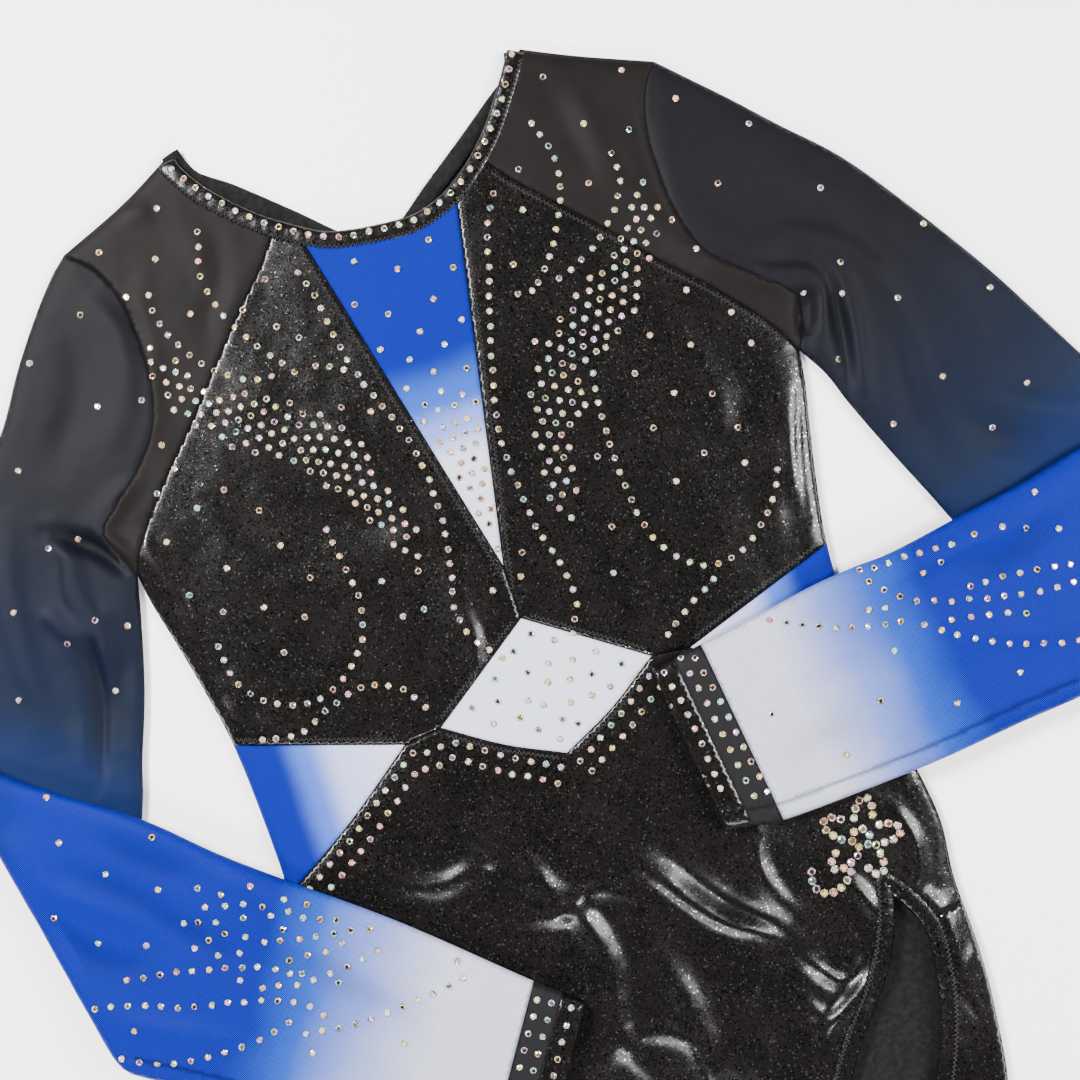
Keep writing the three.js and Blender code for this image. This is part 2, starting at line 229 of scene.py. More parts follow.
def sideways(run):
    """Square to each direction, on its right."""
    return np.stack([run[:, 1], -run[:, 0]], axis=1)


def offset(path, distance):
    path = np.asarray(path, float)
    return path + distance * sideways(unit(np.gradient(path, axis=0)))


def beside(line, gap, towards):
    """The line moved by gap, up the garment (towards 1) or down it (towards -1)."""
    rise = offset(line, 1)[3][1] - line[3][1]
    return offset(line, gap if rise * towards > 0 else -gap)


# ---- The lying surface --------------------------------------------------------------------

side_path = {hand: smooth(flip(SIDE, side)) for hand, side in SIDES.items()}
armhole = {
    hand: smooth([SHOULDER[hand][-1]] + flip(ARMHOLE, side)) for hand, side in SIDES.items()
}
shoulder = {hand: smooth(SHOULDER[hand]) for hand in SIDES}
leg_hole = {
    hand: smooth(flip([LEG_TOP] + LEG_OUTER + [LEG_FOOT] + LEG_INNER + [LEG_TOP], side))[:-1]
    for hand, side in SIDES.items()
}
upper_outer = {h: smooth([SHOULDER[h][-1]] + s["outer"] + [s["fold"][0]]) for h, s in SLEEVES.items()}
upper_inner = {h: smooth(flip([SIDE[0]], SIDES[h]) + s["inner"] + [s["fold"][1]]) for h, s in SLEEVES.items()}
folded_edges = [
    path for hand in SIDES for path in (side_path[hand], shoulder[hand], upper_outer[hand], upper_inner[hand])
]

forearm_outline = {
    h: np.array([s["fold"][0]] + s["fore_outer"] + s["fore_inner"][::-1] + [s["fold"][1]], float)
    for h, s in SLEEVES.items()
}
neck_front = smooth(NECK_FRONT)
neck_back = smooth(NECK_BACK)
front_seams = [smooth([DIAMOND_TOP, INSERT_TIP]), smooth(NECK_FRONT)]
back_seams = []
for hand, side in SIDES.items():
    front_seams += [
        smooth([INSERT_TIP, INSERT_TOP[hand]]),
        smooth([DIAMOND_TOP] + flip([DIAMOND_SIDE], side)),
        smooth(flip([DIAMOND_SIDE, DIAMOND_BELLY, DIAMOND_FOOT], side)),
        smooth(flip([DIAMOND_SIDE, WAIST_TIP], side)),
        smooth(flip([WAIST_TIP, WAIST_TOP], side)),
        smooth(flip([WAIST_TIP, WAIST_BELLY, WAIST_FOOT], side)),
        smooth(flip(YOKE_SEAM, side)),
        smooth(flip([SEAM_FOOT, (150, -150)], side)),
    ]
    back_seams += [
        smooth(flip(BACK_YOKE_SEAM, side), COARSE),
        smooth(flip([WAIST_TIP, WAIST_TOP], side), COARSE),
        smooth(flip([WAIST_TIP, WAIST_FOOT], side), COARSE),
        smooth(flip(BACK_WAIST, side), COARSE),
    ]

# Folds of the front: height, width on the left and right of the stroke, and the stroke.
FOLDS = [
    (1.6, 7, 4, [(8, -78), (22, -98), (40, -122), (60, -136), (76, -150)]),
    (-1.5, 5, 6, [(26, -84), (46, -116), (64, -134), (80, -158)]),
    (1.8, 8, 4, [(4, -120), (14, -150), (16, -185), (10, -215)]),
    (1.5, 4, 8, [(50, -156), (38, -170), (29, -186), (32, -206), (40, -222)]),
    (-1.4, 6, 6, [(60, -150), (50, -176), (42, -200)]),
    (1.4, 3.5, 6, [(70, -92), (66, -104), (68, -118), (76, -134)]),
    (1.2, 3, 4, [(101, -122), (106, -134), (109, -146)]),
    (1.3, 3, 5, [(64, -166), (72, -180), (84, -178), (98, -168), (106, -154)]),
    (1.3, 3, 4, [(58, -204), (66, -190), (80, -180), (96, -170)]),
    (-1.2, 3, 4, [(70, -150), (84, -168), (98, -160)]),
    (1.3, 3, 4, [(132, -100), (136, -118), (132, -134), (122, -140)]),
    (1.4, 4, 4, [(126, -134), (136, -150), (138, -166), (132, -186), (128, -206)]),
    (1.3, 3, 4, [(148, -172), (140, -178), (136, -190), (138, -206)]),
    (1.4, 6, 4, [(-20, -98), (-14, -128), (-18, -160), (-8, -186)]),
    (1.6, 5, 7, [(-36, -62), (-28, -84), (-16, -104), (-8, -130)]),
    (1.1, 4, 5, [(-46, -90), (-28, -98), (-8, -92), (10, -100)]),
    (1.3, 4, 6, [(-98, -52), (-88, -62), (-72, -68), (-54, -66), (-40, -76)]),
    (-1.0, 5, 5, [(-60, -44), (-48, -60), (-44, -82)]),
    (1.1, 4, 5, [(-30, -168), (-14, -160), (4, -164), (14, -178), (10, -196)]),
    (1.0, 5, 6, [(-60, -200), (-40, -214), (-14, -222), (14, -220)]),
    (1.2, 4, 6, [(-100, -140), (-90, -165), (-74, -190), (-58, -214)]),
    (0.9, 6, 9, [(-24, 96), (-20, 66), (-26, 40), (-22, 14)]),
    (1.2, 3, 5, [(-24, 50), (-22, 34), (-26, 18), (-20, 6)]),
    (0.9, 5, 7, [(-58, 150), (-44, 128), (-36, 100), (-38, 72)]),
    (-0.8, 8, 8, [(-84, 118), (-60, 100), (-34, 92)]),
    (0.8, 6, 10, [(-120, 132), (-112, 104), (-96, 84), (-70, 72)]),
    (1.3, 3, 5, [(-150, 132), (-148, 112), (-142, 92), (-143, 66)]),
    (1.0, 4, 5, [(-140, 44), (-134, 30), (-122, 20)]),
    (0.8, 6, 6, [(-90, 200), (-76, 212), (-66, 224)]),
    (0.8, 6, 7, [(110, 130), (116, 104), (112, 80)]),
    (1.0, 5, 6, [(146, 106), (140, 84), (138, 58), (140, 34)]),
    (0.8, 6, 6, [(128, 66), (126, 46), (118, 34)]),
    (-0.8, 1.6, 1.6, [(157, 106), (149, 84), (142, 62), (137, 36)]),
    (0.5, 3, 3, [(151, 100), (143, 78), (136, 58), (131, 38)]),
    (-0.7, 8, 8, [(60, 180), (90, 176), (110, 168)]),
    (0.9, 5, 8, [(96, 262), (102, 236), (104, 210), (112, 190)]),
    (-0.8, 6, 6, [(86, 258), (92, 232), (96, 212)]),
    (1.0, 5, 6, [(112, 236), (117, 214), (116, 190), (126, 164), (146, 142)]),
    (-0.9, 4, 5, [(121, 240), (119, 216), (119, 192), (124, 172)]),
    (0.9, 5, 7, [(-98, 262), (-106, 262), (-108, 268)]),
    (0.9, 6, 7, [(-86, 250), (-84, 232), (-86, 210)]),
    (-0.9, 6, 6, [(-77, 250), (-78, 230), (-90, 206), (-98, 190)]),
    (0.9, 5, 6, [(-110, 240), (-117, 222), (-120, 200), (-128, 174), (-150, 150)]),
    (-0.9, 4, 5, [(-134, 236), (-122, 216), (-122, 196)]),
    (0.7, 4, 5, [(-3, 8), (0, -4), (4, -16)]),
    (0.6, 4, 4, [(16, 12), (24, 2), (22, -8)]),
    (0.6, 5, 5, [(-124, 10), (-112, 0), (-110, -18)]),
]
SLEEVE_FOLDS = [
    (1.5, 4, 7, [(128, 166), (140, 154), (156, 144), (170, 140), (176, 132), (173, 120), (167, 106)]),
    (-2.2, 5, 4, [(172, 134), (166, 124), (162, 112)]),
    (1.4, 4, 5, [(176, 150), (186, 136), (186, 118), (182, 96), (180, 76)]),
    (-1.8, 4, 4, [(181, 138), (180, 118), (177, 98), (172, 84)]),
    (1.0, 6, 7, [(150, 156), (172, 158), (192, 146), (204, 122), (206, 92), (204, 60)]),
    (-0.8, 7, 7, [(200, 136), (204, 106), (200, 70), (206, 40)]),
    (0.8, 7, 8, [(138, 236), (130, 206), (132, 180), (148, 160)]),
    (0.7, 8, 9, [(160, 210), (190, 176), (222, 134), (240, 96)]),
    (0.8, 7, 9, [(222, 74), (240, 56), (262, 44), (282, 42)]),
    (-0.7, 7, 8, [(214, 56), (232, 40), (252, 30)]),
    (1.3, 4, 5, [(-142, 150), (-158, 140), (-166, 132), (-160, 120), (-157, 112)]),
    (-2.4, 4, 4, [(-190, 140), (-180, 132), (-170, 124), (-160, 108)]),
    (1.4, 4, 5, [(-188, 142), (-184, 126), (-186, 108), (-182, 88), (-184, 66)]),
    (-1.6, 3.5, 5, [(-180, 98), (-188, 84), (-190, 68), (-196, 46), (-204, 24)]),
    (1.2, 4, 5, [(-178, 96), (-188, 90), (-196, 96), (-204, 108)]),
    (-0.9, 6, 6, [(-172, 80), (-184, 60), (-190, 34)]),
    (0.9, 6, 7, [(-206, 150), (-214, 120), (-218, 86), (-216, 52)]),
    (0.8, 6, 7, [(-140, 240), (-130, 214), (-136, 186), (-152, 160)]),
    (-0.7, 8, 8, [(-150, 222), (-156, 196), (-176, 168)]),
    (0.7, 6, 7, [(-196, 60), (-206, 34), (-204, 8)]),
]
FOREARM_FOLDS = [
    (1.1, 5, 7, [(250, 14), (224, 4), (196, 2), (166, -2), (140, 0)]),
    (-0.8, 5, 6, [(246, 2), (214, -10), (186, -8)]),
    (0.8, 7, 8, [(252, -40), (222, -46), (190, -38), (150, -44)]),
    (0.6, 8, 8, [(140, -20), (116, -26), (92, -22)]),
    (-0.5, 8, 8, [(132, -62), (110, -58), (90, -66)]),
    (0.9, 6, 7, [(-252, 20), (-236, -10), (-214, -30), (-190, -44)]),
    (-0.9, 7, 4, [(-240, -4), (-216, -20), (-196, -40), (-180, -58), (-166, -70)]),
    (-0.7, 8, 5, [(-212, 4), (-192, -16), (-174, -30)]),
    (-0.8, 6, 7, [(-250, -14), (-232, -44), (-206, -62)]),
    (0.9, 6, 7, [(-242, -62), (-220, -82), (-190, -98), (-160, -118)]),
    (0.9, 5, 7, [(-166, -28), (-150, -44), (-142, -56), (-134, -74)]),
    (-0.7, 7, 7, [(-150, -70), (-124, -96), (-100, -116)]),
    (0.6, 8, 8, [(-120, -84), (-92, -112), (-70, -134)]),
]


def folds(points, strokes):
    height = np.zeros(len(points))
    for rise, left, right, stroke in strokes:
        path = smooth(stroke, 3)
        reach = 3 * max(left, right)
        low, high = path.min(axis=0) - reach, path.max(axis=0) + reach
        close = ((points > low) & (points < high)).all(axis=1)
        if not close.any():
            continue
        gap, share, hand = nearest(path, points[close])
        width = np.where(hand > 0, left, right)
        fade = np.sin(np.pi * np.clip(share, 0.03, 0.97)) ** 0.7
        height[close] += rise * fade * np.exp(-(gap / width) ** 2)
    return height


def rim(gap):
    """0 at a folded side, rising on a quarter round to 1 where the cloth lies flat."""
    return np.sqrt(np.clip(1 - (1 - np.clip(gap / RIM, 0, 1)) ** 2, 0, 1))


def edge_gap(points):
    return np.min([nearest(path, points)[0] for path in folded_edges], axis=0)


def seam_dip(points, seams, depth=SEAM_DEPTH, width=SEAM_WIDTH):
    """Groove along the seams, with the small puckers that stretch stitching makes."""
    dip = np.zeros(len(points))
    for index, seam in enumerate(seams):
        gap, share, _ = nearest(seam, points)
        turns = share * path_length(seam) * 2 * np.pi / PUCKER_PITCH
        pucker = np.sin(turns + index) * np.exp(-(gap / 3.2) ** 2)
        dip = np.minimum(dip, -depth * np.exp(-(gap / width) ** 2)) + 0.10 * pucker
    return dip


def front_level(points):
    arm = np.maximum(np.abs(points[:, 0]) - ARM_START, 0)
    return FRONT_Z - SHOULDER_DROP * ramp(points[:, 1], *SHOULDER_SLOPE) - SLEEVE_DROP * ramp(arm, 0, 30)


def front_height(points, gap=None):
    """Outer face of the front, over the trunk and the upper sleeves."""
    points = np.asarray(points, float)
    gap = edge_gap(points) if gap is None else gap
    level = front_level(points)
    middle = (level + BACK_Z) / 2
    curl = rim(gap)
    seams = front_seams + [armhole["right"], armhole["left"]]
    loose = 1.0 - ramp(points[:, 1], LOOSE_TO, LOOSE_FROM)
    relief = (TRUNK_RELIEF + LOOSE_RELIEF * loose) * folds(points, FOLDS)
    relief += SLEEVE_RELIEF * folds(points, SLEEVE_FOLDS)
    relief += (0.45 + 0.6 * loose) * ripple(points, 42, 1)
    relief += 0.22 * ripple(points, 15, 2) + 0.07 * ripple(points, 6, 3) + seam_dip(points, seams)
    height = middle + (level - middle) * curl + relief * np.clip(curl * 1.2 - 0.1, 0, 1)
    eased = DEEPEST + SOFT * np.exp((height - DEEPEST - SOFT) / SOFT)
    height = np.where(height < DEEPEST + SOFT, eased, height)
    limit = np.where(inside(torso_outline, points), trunk_limit(points), SLEEVE_LIMIT)
    eased = limit - SOFT + SOFT * np.tanh((height - limit + SOFT) / SOFT)
    return np.where(height > limit - SOFT, eased, height)


def trunk_limit(points):
    """How high the front may rise: less where a forearm lies on it."""
    free = np.full(len(points), BODY_LIMIT)
    for outline in forearm_outline.values():
        gap = nearest(outline, points, closed=True)[0]
        reach = np.where(inside(outline, points), 0, gap)
        free = np.minimum(free, COVERED_LIMIT + (BODY_LIMIT - COVERED_LIMIT) * ramp(reach, 2, 14))
    return free


def back_height(points, gap=None):
    points = np.asarray(points, float)
    gap = edge_gap(points) if gap is None else gap
    level = front_level(points)
    middle = (level + BACK_Z) / 2
    relief = 0.25 * ripple(points, 40, 5) + seam_dip(points, back_seams, -0.25)
    return middle - (middle - BACK_Z) * rim(gap) + np.clip(relief, -0.4, 2) * rim(gap)


torso_outline = np.vstack([
    armhole["left"], side_path["left"], side_path["right"][::-1], armhole["right"][::-1],
    [(-150, ABOVE), (150, ABOVE)],
])


# ---- Sheets from a plane layout -------------------------------------------------------------

def triangulate(borders, keep, step):
    """Triangles of the region that keep() accepts, with every border line as edges."""
    low = np.min([b.min(axis=0) for b in borders], axis=0)
    high = np.max([b.max(axis=0) for b in borders], axis=0)
    rows = np.arange(low[1], high[1], step * 0.87)
    grid = [
        (x + (step / 2 if index % 2 else 0), y)
        for index, y in enumerate(rows) for x in np.arange(low[0], high[0], step)
    ]
    grid = np.array(grid)
    grid = grid[keep(grid)]
    clear = np.min([nearest(b, grid)[0] for b in borders], axis=0) > 0.55 * step
    grid = grid[clear]
    points, edges = [], []
    for border in borders:
        start = len(points)
        points += [tuple(p) for p in border]
        edges += [(i, i + 1) for i in range(start, len(points) - 1)]
    points += [tuple(p) for p in grid]
    vertices, _, faces, *_ = delaunay_2d_cdt([Vector(p) for p in points], edges, [], 0, 1e-3)
    vertices = np.array([tuple(v) for v in vertices])
    faces = np.array(faces)
    centres = vertices[faces].mean(axis=1)
    return vertices, faces[keep(centres)]


def mesh_object(name, vertices, faces, material, values=None, inner=None, rounded=True):
    """A mesh object from points in millimetres; inner is the material of a sheet's other face."""
    mesh = bpy.data.meshes.new(name)
    mesh.from_pydata((np.asarray(vertices, float) * MM).tolist(), [], [list(map(int, f)) for f in faces])
    for key, data in (values or {}).items():
        attribute = mesh.attributes.new(key, "FLOAT", "POINT")
        attribute.data.foreach_set("value", np.asarray(data, np.float32))
    for look in (material, inner):
        if look:
            mesh.materials.append(look)
    mesh.polygons.foreach_set("use_smooth", np.full(len(mesh.polygons), rounded))
    mesh.update()
    piece = bpy.data.objects.new(name, mesh)
    bpy.context.scene.collection.objects.link(piece)
    return piece


def apply_modifiers(piece):
    graph = bpy.context.evaluated_depsgraph_get()
    mesh = bpy.data.meshes.new_from_object(piece.evaluated_get(graph))
    old = piece.data
    piece.modifiers.clear()
    piece.data = mesh
    bpy.data.meshes.remove(old)


def thicken(piece, thickness=CLOTH, inner_slot=0):
    """Gives the sheet its thickness inwards; the inside face takes the lining side's material."""
    solid = piece.modifiers.new("thickness", "SOLIDIFY")
    solid.thickness = thickness * MM
    solid.offset = -1
    solid.use_quality_normals = True
    solid.material_offset = inner_slot
    apply_modifiers(piece)


def pick(vertices, faces, values={}):
    """Only the vertices that the faces use."""
    used, renumbered = np.unique(faces, return_inverse=True)
    return vertices[used], renumbered.reshape(faces.shape), {k: v[used] for k, v in values.items()}


def join_sheets(first, second):
    """Two sheets as one, with the vertices they share merged."""
    (va, fa), (vb, fb) = first, second
    vertices = np.vstack([va, vb])
    faces = np.vstack([fa, fb + len(va)])
    keys = np.round(vertices / SAME).astype(np.int64)
    _, index, inverse = np.unique(keys, axis=0, return_index=True, return_inverse=True)
    return vertices[index], inverse.ravel()[faces]


# ---- Materials ----------------------------------------------------------------------------

class Look:
    """A node material with a Principled shader and helpers for procedural cloth."""

    def __init__(self, name, roughness=0.8, metallic=0.0, sheen=0.0, specular=0.5):
        self.material = bpy.data.materials.new(name)
        self.material.use_nodes = True
        self.nodes = self.material.node_tree.nodes
        self.links = self.material.node_tree.links
        self.shader = self.nodes["Principled BSDF"]
        self.shader.inputs["Roughness"].default_value = roughness
        self.shader.inputs["Metallic"].default_value = metallic
        self.shader.inputs["Sheen Weight"].default_value = sheen
        self.shader.inputs["Sheen Roughness"].default_value = 0.4
        self.shader.inputs["Specular IOR Level"].default_value = specular
        self.place = self.nodes.new("ShaderNodeTexCoord").outputs["Object"]

    def link(self, source, target):
        self.links.new(source, target)

    def set(self, socket, source):
        self.link(source, self.shader.inputs[socket])

    def noise(self, scale, detail):
        node = self.nodes.new("ShaderNodeTexNoise")
        node.inputs["Scale"].default_value = scale
        node.inputs["Detail"].default_value = detail
        self.link(self.place, node.inputs["Vector"])
        return node.outputs["Fac"]

    def cells(self, scale):
        """Three random values for each small cell."""
        node = self.nodes.new("ShaderNodeTexVoronoi")
        node.inputs["Scale"].default_value = scale
        self.link(self.place, node.inputs["Vector"])
        split = self.nodes.new("ShaderNodeSeparateColor")
        self.link(node.outputs["Color"], split.inputs[0])
        return split.outputs

    def math(self, kind, a, b=None):
        node = self.nodes.new("ShaderNodeMath")
        node.operation = kind
        for socket, value in zip(node.inputs, (a, b)):
            if value is None:
                continue
            if isinstance(value, (int, float)):
                socket.default_value = value
            else:
                self.link(value, socket)
        return node.outputs[0]

    def ramp(self, source, stops, interpolation="LINEAR"):
        node = self.nodes.new("ShaderNodeValToRGB")
        node.color_ramp.interpolation = interpolation
        elements = node.color_ramp.elements
        while len(elements) < len(stops):
            elements.new(0.5)
        for element, (position, colour) in zip(elements, stops):
            element.position = position
            element.color = tuple(colour) + (1.0,) * (4 - len(colour))
        self.link(source, node.inputs["Fac"])
        return node.outputs["Color"]

    def attribute(self, name, output="Fac"):
        node = self.nodes.new("ShaderNodeAttribute")
        node.attribute_name = name
        return node.outputs[output]

    def dyed(self, stops, patch, drift, interpolation="LINEAR"):
        """Dye from one colour to another over the "along" attribute, with a slightly uneven edge."""
        uneven = self.math("SUBTRACT", self.noise(patch, 3), 0.5)
        position = self.math("ADD", self.attribute("along"), self.math("MULTIPLY", uneven, drift))
        return self.ramp(position, stops, interpolation)

    def mix(self, factor, a, b, blend="MIX"):
        node = self.nodes.new("ShaderNodeMix")
        node.data_type = "RGBA"
        node.blend_type = blend
        for socket, value in ((node.inputs["Factor"], factor), (node.inputs[6], a), (node.inputs[7], b)):
            if isinstance(value, (int, float)):
                socket.default_value = value
            elif isinstance(value, tuple):
                socket.default_value = value + (1.0,) * (4 - len(value))
            else:
                self.link(value, socket)
        return node.outputs[2]

    def weave(self, pitch, angle=0.0):
        """Height of a fine knit: two crossing waves, pitch in millimetres."""
        turn = self.nodes.new("ShaderNodeMapping")
        turn.inputs["Rotation"].default_value = (0, 0, angle)
        self.link(self.place, turn.inputs["Vector"])
        split = self.nodes.new("ShaderNodeSeparateXYZ")
        self.link(turn.outputs[0], split.inputs[0])
        rate = 2 * math.pi / (pitch * MM)
        waves = [self.math("SINE", self.math("MULTIPLY", split.outputs[k], rate)) for k in (0, 1)]
        return self.math("MULTIPLY", waves[0], waves[1])

    def bump(self, heights):
        """heights: (source, strength, distance in millimetres), chained."""
        normal = None
        for source, strength, distance in heights:
            node = self.nodes.new("ShaderNodeBump")
            node.inputs["Strength"].default_value = strength
            node.inputs["Distance"].default_value = distance * MM
            self.link(source, node.inputs["Height"])
            if normal is not None:
                self.link(normal, node.inputs["Normal"])
            normal = node.outputs["Normal"]
        self.set("Normal", normal)


WHITE = (1.0, 1.0, 1.0)


def foil_look():
    """Black tricot with a fine foil print, which lights up only where a fold turns to the light."""
    look = Look("black_foil", roughness=0.25, specular=0.22)
    pick_one, brightness, tilt = look.cells(1700)[:3]
    bare = look.math("ADD", 0.56, look.math("MULTIPLY", look.noise(28, 3), 0.4))
    speck = look.math("GREATER_THAN", pick_one, bare)
    cloth = look.ramp(look.noise(60, 4), [(0.3, (0.0025, 0.0021, 0.0020)), (0.7, (0.0050, 0.0042, 0.0040))])
    silver = look.ramp(brightness, [(0.0, (0.005, 0.0045, 0.004)), (0.8, (0.015, 0.014, 0.013)),
                                    (1.0, (0.20, 0.195, 0.19))])
    look.set("Base Color", look.mix(speck, cloth, silver))
    look.set("Metallic", look.math("MULTIPLY", speck, 0.9))
    look.set("Roughness", look.math("ADD", look.math("MULTIPLY", speck, -0.05), 0.25))
    look.bump([(look.noise(1000, 2), 0.25, 0.04), (tilt, 0.5, 0.017), (look.noise(120, 3), 0.3, 0.35)])
    return look.material


def tricot_look():
    look = Look("charcoal_tricot", roughness=0.58, sheen=0.01, specular=0.08)
    cloth = look.ramp(look.noise(45, 4), [(0.3, (0.0034, 0.0024, 0.0024)), (0.7, (0.0054, 0.0039, 0.0039))])
    thread = look.weave(0.62)
    knit = look.ramp(thread, [(0.2, (0.002, 0.0014, 0.0014)), (0.8, (0.009, 0.0066, 0.0066))])
    look.set("Base Color", look.mix(0.22, cloth, knit))
    look.bump([(thread, 0.25, 0.06), (look.noise(200, 3), 0.2, 0.25)])
    return look.material


def lining_look():
    look = Look("matte_black_inside", roughness=0.92, specular=0.15, sheen=0.03)
    cloth = look.ramp(look.noise(420, 3), [(0.35, (0.0015, 0.0015, 0.0015)), (0.7, (0.006, 0.0056, 0.0052))])
    look.set("Base Color", cloth)
    look.bump([(look.weave(1.1, 0.6), 0.4, 0.12), (look.noise(300, 3), 0.35, 0.3)])
    return look.material


def insert_look(name, stops):
    """Opaque insert cloth, dyed from one colour to another."""
    look = Look(name, roughness=0.78, sheen=0.02, specular=0.08)
    dye = look.dyed(stops, 30, 0.06, "EASE")
    thread = look.weave(0.7)
    shade = look.ramp(thread, [(0.0, (0.72, 0.72, 0.74)), (1.0, WHITE)])
    look.set("Base Color", look.mix(0.45, dye, shade, "MULTIPLY"))
    look.bump([(thread, 0.3, 0.07), (look.noise(160, 3), 0.15, 0.25)])
    return look.material


BLUE = (0.0, 0.0066, 0.185)
DEEP_BLUE = (0.0, 0.0050, 0.150)
PERIWINKLE = (0.13, 0.18, 0.47)
MILK = (0.46, 0.465, 0.55)
NAVY = (0.0026, 0.0050, 0.0150)
CHARCOAL = (0.0045, 0.0040, 0.0054)
MESH_DYE = [
    (0.00, MILK), (0.12, MILK), (0.18, PERIWINKLE), (0.225, (0.010, 0.055, 0.34)), (0.275, BLUE),
    (0.49, BLUE), (0.56, (0.0015, 0.011, 0.065)), (0.64, (0.003, 0.0075, 0.022)), (0.70, NAVY),
    (0.82, (0.0036, 0.0040, 0.0066)), (1.00, CHARCOAL),
]
SLEEVE_REACH = {"right": 530.0, "left": 460.0}   # over which the dye runs, from the cuff's end up


def mesh_look(name, stops, hole=0.10):
    """Fine sheer stretch mesh: the dye runs along the sleeve and small holes show through."""
    look = Look(name, roughness=0.56, sheen=0.01, specular=0.09)
    dye = look.dyed(stops, 24, 0.05)
    thread = look.weave(0.95, 0.35)
    shade = look.ramp(thread, [(0.0, (0.62, 0.62, 0.66)), (0.6, WHITE)])
    plies = look.ramp(look.weave(3.4, 0.12), [(0.0, (0.70, 0.70, 0.72)), (1.0, WHITE)])
    knit = look.mix(0.35, look.mix(0.5, dye, shade, "MULTIPLY"), plies, "MULTIPLY")
    # The "seam" attribute darkens the mesh towards grey-blue along the underarm and cuff seams, a real dark joint,
    # and in the fold valleys, where it is painted shade.
    crease = look.math("MULTIPLY", look.attribute("seam"), 0.7)
    look.set("Base Color", look.mix(crease, knit, (0.10, 0.11, 0.14), "MULTIPLY"))
    look.set("Alpha", look.ramp(thread, [(0.0, (1 - 2.2 * hole,) * 3), (0.45, WHITE)]))
    look.bump([(thread, 0.35, 0.09), (look.noise(180, 3), 0.15, 0.3)])
    return look.material


def thread_look(name, colour):
    look = Look(name, roughness=0.55, sheen=0.2)
    lighter = tuple(min(1.0, c * 1.7 + 0.01) for c in colour)
    look.set("Base Color", look.ramp(look.noise(900, 2), [(0.3, colour), (0.7, lighter)]))
    look.bump([(look.noise(2500, 2), 0.3, 0.05)])
    return look.material


def crystal_look():
    """Flat-back crystals with an iridescent coat: each facet has its own pale tint, and some facets are darkened as
    painted reflection.
    """
    look = Look("iridescent_crystal", roughness=0.10, metallic=0.45, specular=1.0)
    # This attribute holds each facet's hue times a painted dark reflection.
    tint_and_painted_shade = look.attribute("tint_and_painted_shade", "Color")
    cloud = look.ramp(look.noise(700, 1), [(0.3, (0.75, 0.75, 0.75)), (0.7, WHITE)])
    look.set("Base Color", look.mix(1.0, tint_and_painted_shade, cloud, "MULTIPLY"))
    look.shader.inputs["Coat Weight"].default_value = 1.0
    look.shader.inputs["Coat Roughness"].default_value = 0.03
    look.shader.inputs["Coat IOR"].default_value = 1.7
    look.bump([(look.noise(1500, 1), 0.05, 0.05)])
    return look.material


FOIL = foil_look()
TRICOT = tricot_look()
INSIDE = lining_look()
V_CLOTH = insert_look("v_insert_cloth", [
    (0.0, MILK), (0.30, MILK), (0.40, PERIWINKLE), (0.48, (0.016, 0.062, 0.32)), (0.62, DEEP_BLUE),
    (1.0, DEEP_BLUE),
])
DIAMOND_CLOTH = insert_look("white_insert_cloth", [(0.0, MILK), (1.0, (0.50, 0.505, 0.57))])
WAIST_CLOTH = insert_look("waist_insert_cloth", [
    (0.0, MILK), (0.38, (0.33, 0.36, 0.56)), (0.60, (0.04, 0.09, 0.38)), (0.78, DEEP_BLUE), (1.0, DEEP_BLUE),
])
SLEEVE_MESH = mesh_look("sleeve_mesh", MESH_DYE)
CUFF_MESH_CLOTH = mesh_look(
    "cuff_mesh_cloth", [(0.0, (0.008, 0.0078, 0.009)), (1.0, (0.012, 0.0115, 0.0135))], 0.06)
BLACK_THREAD = thread_look("black_thread", (0.0012, 0.0012, 0.0012))
CRYSTAL = crystal_look()
ELASTIC = thread_look("black_elastic", (0.003, 0.003, 0.003))


# ---- Torso panels ---------------------------------------------------------------------------

TRUNK = np.vstack([
    [(-83, 300)], shoulder["right"], armhole["right"], side_path["right"], side_path["left"][::-1],
    armhole["left"][::-1], shoulder["left"][::-1], [(81, 300)],
])
neck_edge = {
    key: offset(line, BINDING / 2 - UNDER_BINDING) for key, line in (("front", neck_front), ("back", neck_back))
}
neck_open = {key: np.vstack([[(-130, 340)], line, [(130, 340)]]) for key, line in neck_edge.items()}
leg_edge = {hand: offset(path, SIDES[hand] * UNDER_BINDING) for hand, path in leg_hole.items()}


def in_front(points):
    found = inside(TRUNK, points) & ~inside(neck_open["front"], points)
    for hand in SIDES:
        found &= ~inside(leg_edge[hand], points)
    return found


def in_back(points):
    return inside(TRUNK, points) & ~inside(neck_open["back"], points)


